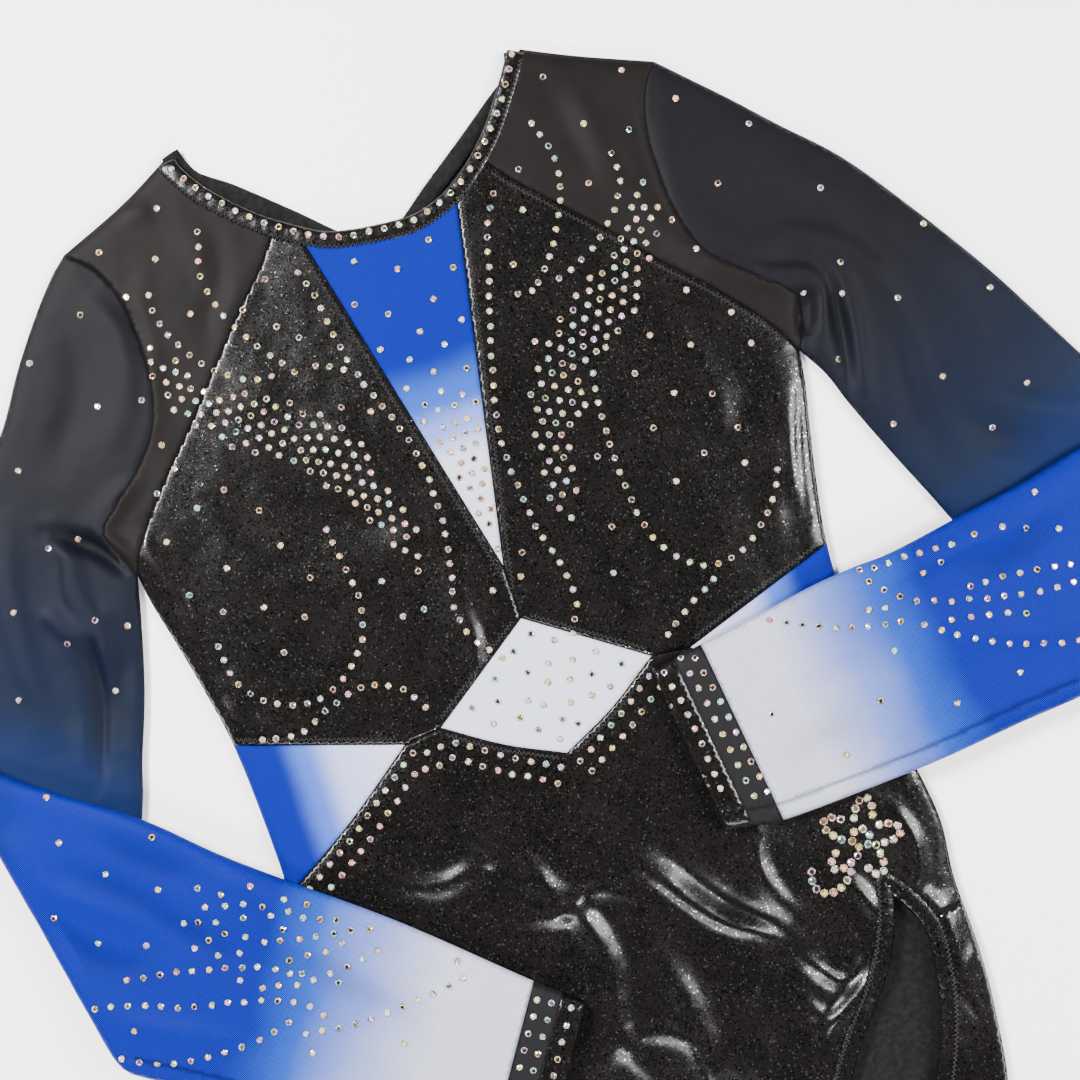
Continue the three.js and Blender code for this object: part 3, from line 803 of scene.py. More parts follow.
def front_labels(points):
    """Which front panel each point belongs to."""
    names = np.full(len(points), "brief_front", dtype=object)
    for hand, side in SIDES.items():
        own = points[:, 0] * side > 0
        top = INSERT_TOP[hand]
        regions = {
            f"bodice_front_{hand}": flip([DIAMOND_TOP, INSERT_TIP], side) + [top, (top[0], ABOVE)] + flip(
                [(BEYOND, ABOVE), (BEYOND, 23), WAIST_TOP, WAIST_TIP, DIAMOND_SIDE], side),
            f"front_yoke_{hand}": list(smooth(flip(YOKE_SEAM, side))) + flip(
                [(BEYOND, 100), (BEYOND, ABOVE), (40, ABOVE)], side),
            f"waist_insert_front_{hand}": list(smooth(flip([WAIST_TIP, WAIST_BELLY, WAIST_FOOT], side))) + flip(
                [(BEYOND, -50), (BEYOND, 24), WAIST_TOP], side),
            "brief_back": flip([(BEYOND, -151), SEAM_FOOT, (125, -160), (110, -220), LEG_FOOT, (34, -310),
                                (BEYOND, -310)], side),
        }
        for name, region in regions.items():
            names[own & inside(region, points)] = name
    insert = [INSERT_TIP, INSERT_TOP["left"], (35, ABOVE), (-39, ABOVE), INSERT_TOP["right"]]
    names[inside(insert, points)] = "centre_v_insert"
    lower = smooth([DIAMOND_SIDE, DIAMOND_BELLY, DIAMOND_FOOT])
    diamond = [DIAMOND_TOP] + list(lower) + list(flip(lower[::-1], -1))
    names[inside(diamond, points)] = "waist_diamond"
    return names


def back_labels(points):
    """Which back panel each point belongs to."""
    names = np.full(len(points), "brief_back", dtype=object)
    waist_line = list(smooth(flip(BACK_WAIST, -1))) + list(smooth(BACK_WAIST)[::-1])
    bodice = flip([(BEYOND, ABOVE), (BEYOND, 24), WAIST_TOP, WAIST_TIP], -1) + waist_line
    bodice += [WAIST_TIP, WAIST_TOP, (BEYOND, 24), (BEYOND, ABOVE)]
    names[inside(bodice, points)] = "bodice_back"
    for hand, side in SIDES.items():
        own = points[:, 0] * side > 0
        yoke = list(smooth(flip(BACK_YOKE_SEAM, side)))
        yoke += flip([(BEYOND, 100), (BEYOND, ABOVE), (20, ABOVE)], side)
        names[own & inside(yoke, points)] = f"back_yoke_{hand}"
        waist = flip([WAIST_TIP, WAIST_FOOT, (BEYOND, -50), (BEYOND, 24), WAIST_TOP], side)
        names[own & inside(waist, points)] = f"waist_insert_back_{hand}"
    return names


PANEL_CLOTH = {"front_yoke": TRICOT, "back_yoke": TRICOT, "waist_insert": WAIST_CLOTH, "centre_v": V_CLOTH,
               "waist_diamond": DIAMOND_CLOTH}


def by_prefix(table, name, fallback):
    for prefix, value in table.items():
        if name.startswith(prefix):
            return value
    return fallback


def dye_position(name, points):
    """Where each point lies along its panel's colour change, 0 to 1."""
    if name.startswith("centre_v"):
        return np.clip((points[:, 1] - INSERT_TIP[1]) / (INSERT_DYE_TOP - INSERT_TIP[1]), 0, 1)
    if name.startswith("waist_insert"):
        return np.clip((np.abs(points[:, 0]) - WAIST_TIP[0]) / (WAIST_FOOT[0] - WAIST_TIP[0]), 0, 1)
    return np.zeros(len(points))


def laid_sheet(piece, node):
    """A panel that lies flat: hides its CAD part and puts the panel on the torso body."""
    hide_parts(node)
    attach(piece, "torso")


def build_trunk():
    shared = [side_path["left"], side_path["right"], armhole["left"], armhole["right"],
              shoulder["left"], shoulder["right"]]
    front_borders = shared + front_seams + [neck_edge["front"]]
    front_borders += [np.vstack([leg_edge[hand], leg_edge[hand][:1]]) for hand in SIDES]
    flat, faces = triangulate(front_borders, in_front, FINE)
    labels = front_labels(flat[faces].mean(axis=1))
    front = np.c_[flat, front_height(flat)]
    back_flat, back_faces = triangulate(shared + back_seams + [neck_edge["back"]], in_back, COARSE)
    marks = back_labels(back_flat[back_faces].mean(axis=1))
    back = np.c_[back_flat, back_height(back_flat)]
    back_faces = back_faces[:, ::-1]
    sheets = {}
    for name in np.unique(labels):
        sheets[name] = pick(front, faces[labels == name])[:2]
    for name in np.unique(marks):
        sheet = pick(back, back_faces[marks == name])[:2]
        sheets[name] = join_sheets(sheets[name], sheet) if name in sheets else sheet
    for name, (points, tris) in sheets.items():
        cloth = by_prefix(PANEL_CLOTH, name, FOIL)
        inner = cloth if cloth in (V_CLOTH, DIAMOND_CLOTH, WAIST_CLOTH) else INSIDE
        dye = {"along": dye_position(name, points)}
        piece = mesh_object(f"{name}_cloth", points, tris, cloth, dye, inner)
        thicken(piece, inner_slot=1)
        laid_sheet(piece, name)


# ---- Sleeves ------------------------------------------------------------------------------

UPPER_MIDDLE = (FRONT_Z + BACK_Z) / 2
FORE_MIDDLE = (FOREARM_UNDER + FOREARM_OVER) / 2
FOLD_RADIUS = (FORE_MIDDLE - UPPER_MIDDLE) / 2
FOLD_Z = (FORE_MIDDLE + UPPER_MIDDLE) / 2
FOLD_ARC = math.pi * FOLD_RADIUS
HALF_THICK = UPPER_MIDDLE - BACK_Z


class Sleeve:
    """One sleeve as a flat tube that turns back on itself at the elbow.

    Plane coordinates (p, q): p along the fold line, q across it, negative on the upper arm and
    positive past the fold, as if the sleeve were opened out flat.
    """

    def __init__(self, hand):
        self.hand = hand
        self.side = SIDES[hand]
        facts = SLEEVES[hand]
        ends = np.array(facts["fold"], float)
        self.origin = ends.mean(axis=0)
        self.along = (ends[0] - ends[1]) / np.linalg.norm(ends[0] - ends[1])
        self.out = np.array([self.along[1], -self.along[0]])
        if self.out[0] * self.side < 0:
            self.out = -self.out
        fore_outer = smooth([facts["fold"][0]] + facts["fore_outer"])
        fore_inner = smooth([facts["fold"][1]] + facts["fore_inner"])
        self.cuff = np.array([fore_outer[-1], fore_inner[-1]])
        self.outer = self.open_edge(upper_outer[hand], fore_outer)
        self.inner = self.open_edge(upper_inner[hand], fore_inner)
        across = self.to_plane(side_path[hand][:60])
        self.edges = [self.outer, self.inner, across, self.to_plane(shoulder[hand])]

    def to_plane(self, points):
        rel = np.asarray(points, float) - self.origin
        return np.stack([rel @ self.along, rel @ self.out], axis=1)

    def to_garment(self, plane):
        return self.origin + plane[:, :1] * self.along + plane[:, 1:2] * self.out

    def open_edge(self, upper, fore):
        """One side edge of the tube, opened out: upper arm, the fold's arc, forearm."""
        first = self.to_plane(upper)
        first = first[first[:, 1] < -FOLD_REACH]
        last = self.to_plane(fore)
        last = last[last[:, 1] < -FOLD_REACH]
        last[:, 1] = FOLD_ARC - 2 * FOLD_REACH - last[:, 1]
        return evenly(np.vstack([first, last]), FINE)

    def over_garment(self, plane):
        """Where each opened-out point lies over the garment, forearm points turned back."""
        turned = plane.copy()
        late = plane[:, 1] > -FOLD_REACH + FOLD_ARC / 2
        turned[late, 1] = FOLD_ARC - 2 * FOLD_REACH - plane[late, 1]
        return self.to_garment(turned)

    def folded(self, plane, lift):
        """Points in millimetres of the folded tube; lift is the height over the tube's middle."""
        p, q = plane[:, 0], plane[:, 1]
        angle = np.clip((q + FOLD_REACH) / FOLD_ARC, 0, 1) * math.pi
        bulge = FOLD_REACH * (FOLD_RADIUS - lift) / (FOLD_RADIUS + HALF_THICK) * np.sin(angle)
        past = np.clip(q + FOLD_REACH - FOLD_ARC, 0, None)
        q_now = np.minimum(q, -FOLD_REACH) + bulge - past
        flat = self.to_garment(np.stack([p, q_now], axis=1))
        return np.c_[flat, FOLD_Z - (FOLD_RADIUS - lift) * np.cos(angle)]

    def share(self, plane):
        """0 at the sleeve's end to 1 at the shoulder, square to the cuff."""
        a, b = self.opened(self.cuff)
        away = np.abs(np.cross((b - a) / np.linalg.norm(b - a), plane - a))
        return np.clip(away / SLEEVE_REACH[self.hand], 0, 1)

    def lifts(self, plane):
        """Heights of the two plies over the tube's middle."""
        gap = np.min([nearest(edge, plane)[0] for edge in self.edges], axis=0)
        over = self.over_garment(plane)
        late = ramp(plane[:, 1], -FOLD_REACH, -FOLD_REACH + FOLD_ARC)
        upper = np.minimum(front_height(over, gap), SLEEVE_LIMIT) - UPPER_MIDDLE
        relief = FOREARM_RELIEF * folds(over, FOREARM_FOLDS)
        relief += 0.4 * ripple(over, 38, 7) + 0.16 * ripple(over, 13, 8)
        relief += seam_dip(over, [self.seam_line()], 0.7, 1.2) + seam_dip(over, [self.cuff_line(0)], 0.4, 1.2)
        curl = rim(gap)
        fore = (HALF_THICK * curl + relief * np.clip(curl * 1.2 - 0.1, 0, 1))
        top = upper * (1 - late) + (HALF_THICK - 0.2) * curl * late
        bottom = -HALF_THICK * curl * (1 - late) - fore * late
        under = back_height(over, gap) - UPPER_MIDDLE
        bottom = np.where(late <= 0, under, bottom)
        return top, bottom

    def cut_size(self, name):
        """Round the arm and along it, for the sleeve or a part of its cuff."""
        if name != "sleeve":
            around = 2 * np.linalg.norm(self.cuff[0] - self.cuff[1])
            return around, CUFF_MESH if name == "cuff_mesh" else CUFF_BAND
        length = max(path_length(edge) for edge in (self.outer, self.inner))
        marks = np.linspace(0, len(self.inner) - 1, 20).astype(int)
        width = nearest(self.outer, self.inner[marks])[0].max()
        return 2 * width, length

    def cuff_line(self, extra):
        """The seam between sleeve and cuff, or a line "extra" further towards the end."""
        a, b = self.cuff
        u = (b - a) / np.linalg.norm(b - a)
        back = np.array([u[1], -u[0]])
        if (self.origin - a) @ back < 0:
            back = -back
        depth = CUFF_BAND + CUFF_MESH - extra
        return evenly(np.array([a - 30 * u, b + 30 * u]) + back * depth, FINE)

    def seam_line(self):
        """The underarm seam, just inside the forearm's lower edge."""
        facts = SLEEVES[self.hand]
        line = smooth([facts["fold"][1]] + facts["fore_inner"])
        centre = self.cuff.mean(axis=0)
        moved = offset(line, UNDERSEAM)
        if np.linalg.norm(moved[-1] - centre) > np.linalg.norm(line[-1] - centre):
            moved = offset(line, -UNDERSEAM)
        return moved

    def opened(self, line):
        """A line over the folded forearm, in opened-out coordinates."""
        plane = self.to_plane(line)
        plane[:, 1] = FOLD_ARC - 2 * FOLD_REACH - plane[:, 1]
        return plane


def build_sleeve(hand):
    sleeve = Sleeve(hand)
    arm = sleeve.to_plane(armhole[hand])
    outline = np.vstack([arm, sleeve.inner, sleeve.outer[::-1]])
    seams = [sleeve.opened(sleeve.cuff_line(0)), sleeve.opened(sleeve.cuff_line(CUFF_MESH)),
             sleeve.opened(sleeve.seam_line())[4:-2]]
    end = evenly(np.array([sleeve.outer[-1], sleeve.inner[-1]]), FINE)
    plane, faces = triangulate([arm, sleeve.inner, sleeve.outer, end] + seams,
                               lambda points: inside(outline, points), FINE)
    top, bottom = sleeve.lifts(plane)
    near = np.min([nearest(line, plane)[0] for line in (seams[0], seams[2])], axis=0)
    seam = np.exp(-(near / 0.7) ** 2)
    marks = {"along": sleeve.share(plane), "seam": seam}
    over = sleeve.over_garment(plane)
    # Painted shade: the upper sleeve's fold valleys are darkened through the "seam" attribute, on top of the real
    # seam lines.
    painted_fold_shade = np.where(plane[:, 1] < 0, -folds(over, SLEEVE_FOLDS) / 2.0, 0)
    front_marks = {**marks, "seam": np.maximum(seam, np.clip(painted_fold_shade, 0, 1))}
    # Painted shade: the forearm's fold valleys are darkened the same way.
    painted_forearm_fold_shade = np.where(plane[:, 1] > FOLD_ARC, -0.55 * folds(over, FOREARM_FOLDS), 0)
    back_marks = {**marks, "seam": np.maximum(seam, np.clip(painted_forearm_fold_shade, 0, 1))}
    centres = sleeve.over_garment(plane[faces].mean(axis=1))
    late = plane[faces].mean(axis=1)[:, 1] > FOLD_ARC
    a, b = sleeve.cuff
    depth = np.abs(np.cross((b - a) / np.linalg.norm(b - a), centres - a))
    names = np.full(len(faces), "sleeve", dtype=object)
    names[late & (depth < CUFF_MESH + CUFF_BAND)] = "cuff_mesh"
    names[late & (depth < CUFF_BAND)] = "cuff_band"
    front = sleeve.folded(plane, top)
    back = sleeve.folded(plane, bottom)
    winding = 1 if np.cross(sleeve.along, sleeve.out) > 0 else -1
    for name, cloth in (("sleeve", SLEEVE_MESH), ("cuff_mesh", CUFF_MESH_CLOTH), ("cuff_band", FOIL)):
        own = faces[names == name][:, ::winding]
        pa, fa, va = pick(front, own, front_marks)
        pb, fb, vb = pick(back, own[:, ::-1], back_marks)
        points, tris = join_sheets((pa, fa), (pb, fb))
        plies = np.vstack([pa, pb])
        values = {key: carried(points, plies, np.concatenate([va[key], vb[key]])) for key in marks}
        inner = INSIDE if cloth is FOIL else cloth
        piece = mesh_object(f"{name}_{hand}_cloth", points, tris, cloth, values, inner)
        thicken(piece, inner_slot=1)
        finish_sleeve(piece, name, sleeve)
    return sleeve


def carried(points, source, values):
    """Values carried from the unmerged vertices to the merged ones."""
    table = {tuple(np.round(p, 2)): v for p, v in zip(source, values)}
    return np.array([table.get(tuple(np.round(p, 2)), 0.5) for p in points])


def finish_sleeve(piece, name, sleeve):
    hand = sleeve.hand
    low, high = sorted(sleeve.cut_size(name))
    if name == "sleeve":
        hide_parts(f"sleeve_upper_{hand}", f"sleeve_lower_{hand}")
        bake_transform(piece)
    else:
        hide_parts(f"{name}_{hand}")
        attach(piece, f"forearm_{hand}")


# ---- Bindings, elastics and lining -----------------------------------------------------------

def band(path, half_width, level, rise, pucker, closed=False, across=8, seed=0):
    """Vertices and faces of a strip laid along a path, arched by rise and puckered along its stitching."""
    path = np.asarray(path, float)
    run = np.roll(path, -1, axis=0) - np.roll(path, 1, axis=0) if closed else np.gradient(path, axis=0)
    side = sideways(unit(run))
    step = np.linalg.norm(np.diff(path, axis=0), axis=1).mean()
    along = np.arange(len(path)) * step
    drift = 1.3 * np.sin(along / 9.0 + seed)
    wave = np.sin(along * 2 * np.pi / GATHER_PITCH + drift) * (0.7 + 0.3 * np.sin(along / 7.0))
    base = level(path)
    rows = []
    for u in np.linspace(-1, 1, across + 1):
        arch = rise * (1 - abs(u) ** 3)
        crease = pucker * wave * (0.35 + 0.65 * u * u)
        rows.append(np.c_[path + side * u * half_width, base + arch + crease])
    points = np.stack(rows, axis=1).reshape(-1, 3)
    faces = []
    last = len(path) if closed else len(path) - 1
    for i in range(last):
        j = (i + 1) % len(path)
        for k in range(across):
            a, b = i * (across + 1) + k, j * (across + 1) + k
            faces.append((a, a + 1, b + 1, b))
    return points, np.array(faces)


def strip_piece(name, points, faces, cloth):
    up = mesh_object(name, points, faces, cloth)
    if sum(f.normal.z for f in up.data.polygons) < 0:
        up.data.flip_normals()
    thicken(up, 0.5)
    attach(up, "torso")
    return up


def front_seat(points):
    return front_height(points) - 0.1


def back_seat(points):
    return back_height(points) + 0.55


def build_neck():
    front, back = neck_front[2:-2], neck_back[2:-2]
    for name, line, seat, cloth in (("front", front, front_seat, FOIL), ("back", back, back_seat, INSIDE)):
        points, faces = band(line, BINDING / 2, seat, 0.9, 0.16, seed=1)
        piece = strip_piece(f"neck_binding_{name}", points, faces, cloth)
        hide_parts("neck_binding")
    points, faces = band(front, ELASTIC_HALF, lambda p: front_seat(p) - 0.75, 0.3, 0.05, seed=1)
    inner = strip_piece("neck_elastic_tape", points, faces, ELASTIC)
    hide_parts("neck_elastic")


def build_leg(hand):
    path = leg_hole[hand]
    points, faces = band(path, BINDING / 2, front_seat, 0.9, 0.5, closed=True, seed=3)
    piece = strip_piece(f"leg_binding_{hand}_cloth", points, faces, FOIL)
    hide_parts(f"leg_binding_{hand}")
    points, faces = band(path, LEG_ELASTIC_HALF, lambda p: front_seat(p) - 0.8, 0.3, 0.05, closed=True, seed=3)
    inner = strip_piece(f"leg_elastic_{hand}_tape", points, faces, ELASTIC)
    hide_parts(f"leg_elastic_{hand}")


LINING = [(0, -186), (54, -200), (44, -220), (32, -252), (24, -286)]


def build_lining():
    """The crotch lining, a loose layer between front and back."""
    half = smooth(LINING)
    outline = np.vstack([half, half[::-1] * (-1, 1)])
    flat, faces = triangulate([outline, outline[[-1, 0]]], lambda points: inside(outline, points), COARSE)
    height = (FRONT_Z + BACK_Z) / 2 - 0.4 + 0.5 * ripple(flat, 24, 9)
    piece = mesh_object("crotch_lining_cloth", np.c_[flat, height], faces, INSIDE)
    thicken(piece)
    laid_sheet(piece, "crotch_lining")


# ---- Stitching ------------------------------------------------------------------------------

def tube(points, radius, sides=4):
    """A thin thread along points; rings are built square to the run, lying flat."""
    run = unit(np.gradient(points, axis=0))
    level = unit(np.cross(run, (0, 0, 1)))
    up = np.cross(level, run)
    turn = (np.arange(sides) * 2 * np.pi / sides)[:, None]
    rings = points[:, None] + radius * (np.cos(turn) * level[:, None] + np.sin(turn) * up[:, None])
    faces = []
    for i in range(len(points) - 1):
        for k in range(sides):
            a, b = i * sides + k, i * sides + (k + 1) % sides
            faces.append((a, b, b + sides, a + sides))
    end = (len(points) - 1) * sides
    faces += [tuple(range(sides))[::-1], tuple(range(end, end + sides))]
    return rings.reshape(-1, 3), faces


def zigzag(path, level, swing=0.85, pitch=2.1):
    """Zigzag stitching along a plane path, each stitch diving into the cloth at its ends."""
    marks = evenly(path, pitch / 2)
    side = sideways(unit(np.gradient(marks, axis=0)))
    corners = marks + side * (swing * np.where(np.arange(len(marks)) % 2, 1, -1))[:, None]
    middle = (corners[1:] + corners[:-1]) / 2
    plane = np.empty((2 * len(corners) - 1, 2))
    plane[::2], plane[1::2] = corners, middle
    height = level(plane) + np.where(np.arange(len(plane)) % 2, 0.16, -0.06)
    return np.c_[plane, height]


def stitch_piece(name, lines, thread, body="torso", radius=0.2):
    points, faces = [], []
    for line in lines:
        ring, quads = tube(line, radius)
        faces += [tuple(i + len(points) for i in quad) for quad in quads]
        points += ring.tolist()
    piece = mesh_object(name, points, faces, thread, rounded=False)
    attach(piece, body)


def build_stitching():
    for hand, side in SIDES.items():
        insert = smooth([INSERT_TOP[hand], INSERT_TIP])
        outward = 3.0 if offset(insert, 1)[0][0] * side > insert[0][0] * side else -3.0
        v_line = offset(insert, outward)[2:]
        yoke = smooth(flip(YOKE_SEAM, side))
        down = -2.6 if offset(yoke, 1)[20][1] > yoke[20][1] else 2.6
        lines = [
            zigzag(np.vstack([v_line, [(side * 0.9, 48)]]), front_height),
            zigzag(offset(yoke, down)[4:-6], front_height),
        ]
        stitch_piece(f"front_stitching_{hand}", lines, BLACK_THREAD)
        lower = smooth(flip([DIAMOND_SIDE, DIAMOND_BELLY, DIAMOND_FOOT], side))
        drop = 2.6 if offset(lower, 1)[3][1] < lower[3][1] else -2.6
        upper = smooth([DIAMOND_TOP] + flip([DIAMOND_SIDE], side))
        rise = 2.6 if offset(upper, 1)[3][1] > upper[3][1] else -2.6
        belt = smooth(flip([WAIST_TIP, WAIST_BELLY, WAIST_FOOT], side))
        sink = 2.6 if offset(belt, 1)[3][1] < belt[3][1] else -2.6
        crest = smooth(flip([WAIST_TIP, WAIST_TOP], side))
        lift = 2.6 if offset(crest, 1)[3][1] > crest[3][1] else -2.6
        lines = [zigzag(offset(line, gap)[2:-2], front_height)
                 for line, gap in ((lower, drop), (upper, rise), (belt, sink), (crest, lift))]
        stitch_piece(f"waist_stitching_{hand}", lines, BLACK_THREAD)
        leg = leg_hole[hand]
        ring = offset(np.vstack([leg, leg[:4]]), -side * (BINDING / 2 - 1.6))
        ring_level = lambda points: front_seat(points) + 0.85
        stitch_piece(f"leg_stitching_{hand}", [zigzag(ring, ring_level)], BLACK_THREAD)
    hem = offset(neck_front, BINDING / 2 - 1.4)[4:-4]
    stitch_piece("neck_stitching", [zigzag(hem, lambda points: front_seat(points) + 0.75)], BLACK_THREAD)


# ---- Crystals -----------------------------------------------------------------------------

CRYSTAL_RADIUS = 1.55
CRYSTAL_PITCH = 6.6
TINTS = [
    (1.00, 0.93, 0.84), (1.00, 0.46, 0.36), (1.00, 0.70, 0.24), (0.42, 0.86, 0.82), (0.66, 0.88, 0.44),
    (0.86, 0.52, 0.86), (1.00, 0.60, 0.36), (1.00, 0.84, 0.58),
]


def crystal_shape(radius):
    """One cut stone: points and faces, with its table up and its girdle at the cloth."""
    turn = np.arange(8) * math.pi / 4
    rings = []
    for share, height, twist in ((0.96, 0.0, 0.0), (1.0, 0.14, 0.0), (0.84, 0.34, 0.5), (0.55, 0.56, 0.0)):
        angle = turn + twist * math.pi / 4
        ring = np.stack([np.cos(angle) * share, np.sin(angle) * share, np.full(8, height)], axis=1)
        rings.append(ring * radius)
    faces = []
    for k in range(8):
        n = (k + 1) % 8
        faces.append((k, n, 8 + n, 8 + k))
        faces.append((8 + k, 8 + n, 16 + k))
        faces.append((8 + n, 16 + n, 16 + k))
        faces.append((16 + k, 24 + n, 24 + k))
        faces.append((16 + k, 16 + n, 24 + n))
    faces.append(tuple(range(24, 32)))
    faces.append(tuple(range(7, -1, -1)))
    return np.vstack(rings), faces


def crystal_piece(name, places, body, radius=CRYSTAL_RADIUS):
    """Stones at (point, normal) places, joined in one mesh with a tint for each facet; some facets are darkened at
    random as painted reflection.
    """
    shape, faces = crystal_shape(radius)
    points, polygons, tints_and_painted_shades = [], [], []
    for place, normal in places:
        turn = random.uniform(0, math.pi / 4)
        lean = Vector(normal) + Vector((random.uniform(-0.06, 0.06), random.uniform(-0.06, 0.06), 0))
        frame_axis = lean.to_track_quat("Z", "Y").to_matrix()
        spin = np.array([[math.cos(turn), -math.sin(turn), 0], [math.sin(turn), math.cos(turn), 0], [0, 0, 1]])
        matrix = np.array(frame_axis) @ spin
        start = len(points)
        points += (shape @ matrix.T + place).tolist()
        stone = random.choice(TINTS)
        for face in faces:
            polygons.append(tuple(start + i for i in face))
            facet = random.choice(TINTS)
            # Painted reflection: shade scales some facets' colour nearly to black, as if they mirrored dark
            # surroundings.
            shade = random.choice((0.03, 0.16, 0.6, 1.0, 1.0))
            tints_and_painted_shades.append([shade * (0.65 * a + 0.35 * b) for a, b in zip(stone, facet)] + [1.0])
    piece = mesh_object(name, points, polygons, CRYSTAL, rounded=False)
    colours = piece.data.attributes.new("tint_and_painted_shade", "FLOAT_COLOR", "CORNER")
    corner_tints_and_painted_shades = [tint_and_painted_shade for tint_and_painted_shade, face in zip(tints_and_painted_shades, polygons) for _ in face]
    colours.data.foreach_set("color", np.array(corner_tints_and_painted_shades, np.float32).ravel())
    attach(piece, body)


def on_front(points, lift=0.12):
    """Places for stones on the front of the trunk or an upper sleeve."""
    points = np.asarray(points, float)
    step = 1.2
    here = front_height(points)
    slope_x = (front_height(points + (step, 0)) - here) / step
    slope_y = (front_height(points + (0, step)) - here) / step
    return [((x, y, z + lift), (-sx, -sy, 1.0)) for (x, y), z, sx, sy in zip(points, here, slope_x, slope_y)]


def on_forearm(sleeve, points, lift=0.12):
    """Places on the upper side of a lying forearm, kept on its flat part beside the elbow fold."""
    points = np.asarray(points, float)
    step = 1.2
    spots = []
    for shift in ((0, 0), (step, 0), (0, step)):
        plane = sleeve.opened(points + shift)
        plane[:, 1] = np.maximum(plane[:, 1], FOLD_ARC - FOLD_REACH + 0.3)
        spots.append(sleeve.folded(plane, sleeve.lifts(plane)[1]))
    here, right, up = spots
    return [((x, y, z + lift), ((z - r) / step, (z - u) / step, 1.0))
            for (x, y, z), r, u in zip(here, right[:, 2], up[:, 2])]


def beside_fold(sleeve, stones):
    """The stones that aren't past the elbow fold, where the forearm's cloth turns under."""
    depth = sleeve.opened(np.array(stones, float))[:, 1] - (FOLD_ARC - FOLD_REACH)
    return [stone for stone, gap in zip(stones, depth) if gap > -2.5]


def row(points, pitch=CRYSTAL_PITCH, wobble=0.35):
    line = evenly(smooth(points), pitch)
    return [(x + random.uniform(-wobble, wobble), y + random.uniform(-wobble, wobble)) for x, y in line]


def swoosh(core, widths, pitch=6.1):
    """A dense band of stones, staggered in rows square to its core line."""
    line = evenly(smooth(core), pitch * 0.87)
    stones = []
    for index, (point, way) in enumerate(zip(line, sideways(unit(np.gradient(line, axis=0))))):
        width = np.interp(index / (len(line) - 1), np.linspace(0, 1, len(widths)), widths)
        count = int(width // pitch)
        for k in range(-count, count + 1):
            shift = (k + (0.5 if index % 2 else 0)) * pitch
            if abs(shift) <= width:
                x, y = point + way * shift
                stones.append((x + random.uniform(-0.5, 0.5), y + random.uniform(-0.5, 0.5)))
    return stones


NECK_STONES = row([(-84, 276.5), (-75, 263), (-59, 246), (-42.5, 233), (-23.5, 223.5), (-9.5, 221),
                   (5, 219.5),
                   (18, 220.5), (37, 228.5), (53.5, 242.5), (67.5, 259), (78, 276)], 7.0, 0.2)
INSERT_STONES = [
    (-19.5, 210.5), (15.5, 209), (-2, 201), (-25.5, 192), (22, 193.5), (-12.5, 183), (9, 183), (-1.5, 171),
    (-21, 169), (18, 170), (-10, 160.5), (7, 162), (-1.5, 152), (-15.5, 148.5), (13, 148.5), (-1, 142.5),
    (-10, 139), (7.5, 138), (-5, 135), (2.5, 134.5), (-13, 132), (12, 133),
]
INSERT_CLUSTER = [(x, y) for index, y in enumerate(range(127, 66, -6))
                  for x in np.arange(-12, 13, 6) + (3 if index % 2 else 0) if abs(x) < (y - 59) * 0.19 - 1]
DIAMOND_STONES = [
    (-8, 21), (2, 26), (11, 20), (-20, 12), (-5, 10), (5, 11), (16, 9), (27, 9), (-34, 3), (-22, 2), (-9, -2),
    (2, 3), (12, 1), (22, 0), (36, 0), (-27, -7), (-15, -8), (-3, -6), (9, -9), (19, -9), (28, -8), (-9, -16),
    (3, -15), (-1, -23), (9, -19),
]
LEFT_ROWS = [
    [(76, 243.5), (80.5, 231.5), (80.5, 218), (75.5, 202.5), (66, 186), (56, 174.5)],
    [(106, 219.5), (106, 207), (97.5, 193), (82.5, 180.5), (64, 173), (45.5, 172.5)],
    [(50, 219), (42, 206), (38, 190), (32, 172), (26, 152), (20, 130), (17, 108), (18, 88), (20, 70),
     (25, 48),
     (26, 34), (20, 20)],
    [(66, 128), (64, 110), (63, 92), (64, 74), (66, 56), (72, 42), (84, 31), (98, 29), (112, 36),
     (124, 48), (131, 60)],
    [(60, 6), (72, 14), (86, 22), (100, 30), (116, 40)],
]
LEFT_SWOOSH = [(115, 202), (110, 186), (100, 170), (85, 158), (66, 145), (50, 126), (40, 104), (36, 84),
               (36, 70)]
RIGHT_ROWS = [
    [(-82, 246), (-87, 227), (-85, 212.5), (-80, 200.5), (-69.5, 183.5), (-60.5, 172)],
    [(-113, 219), (-109.5, 206), (-97.5, 187), (-80.5, 175), (-60, 172.5), (-46, 170), (-34, 162)],
    [(-45, 214), (-41, 200), (-39, 184), (-36, 166), (-28, 144), (-21, 122), (-19, 100), (-20, 80), (-24, 60),
     (-27, 46), (-23, 32), (-14, 20)],
    [(-70, 100), (-68, 82), (-66, 66), (-70, 50), (-82, 36), (-98, 29), (-112, 31), (-124, 38),
     (-132, 52), (-133, 66)],
    [(-128, 20), (-112, 17), (-94, 24), (-78, 28), (-62, 22), (-54, 10)],
]
RIGHT_SWOOSH = [(-119, 203), (-113, 184), (-103, 168), (-86, 156), (-68, 145), (-55, 128), (-45, 108),
                (-38, 88), (-34, 70)]
SWOOSH_WIDTHS = [4, 9, 12, 13, 14, 14, 11, 8, 4]
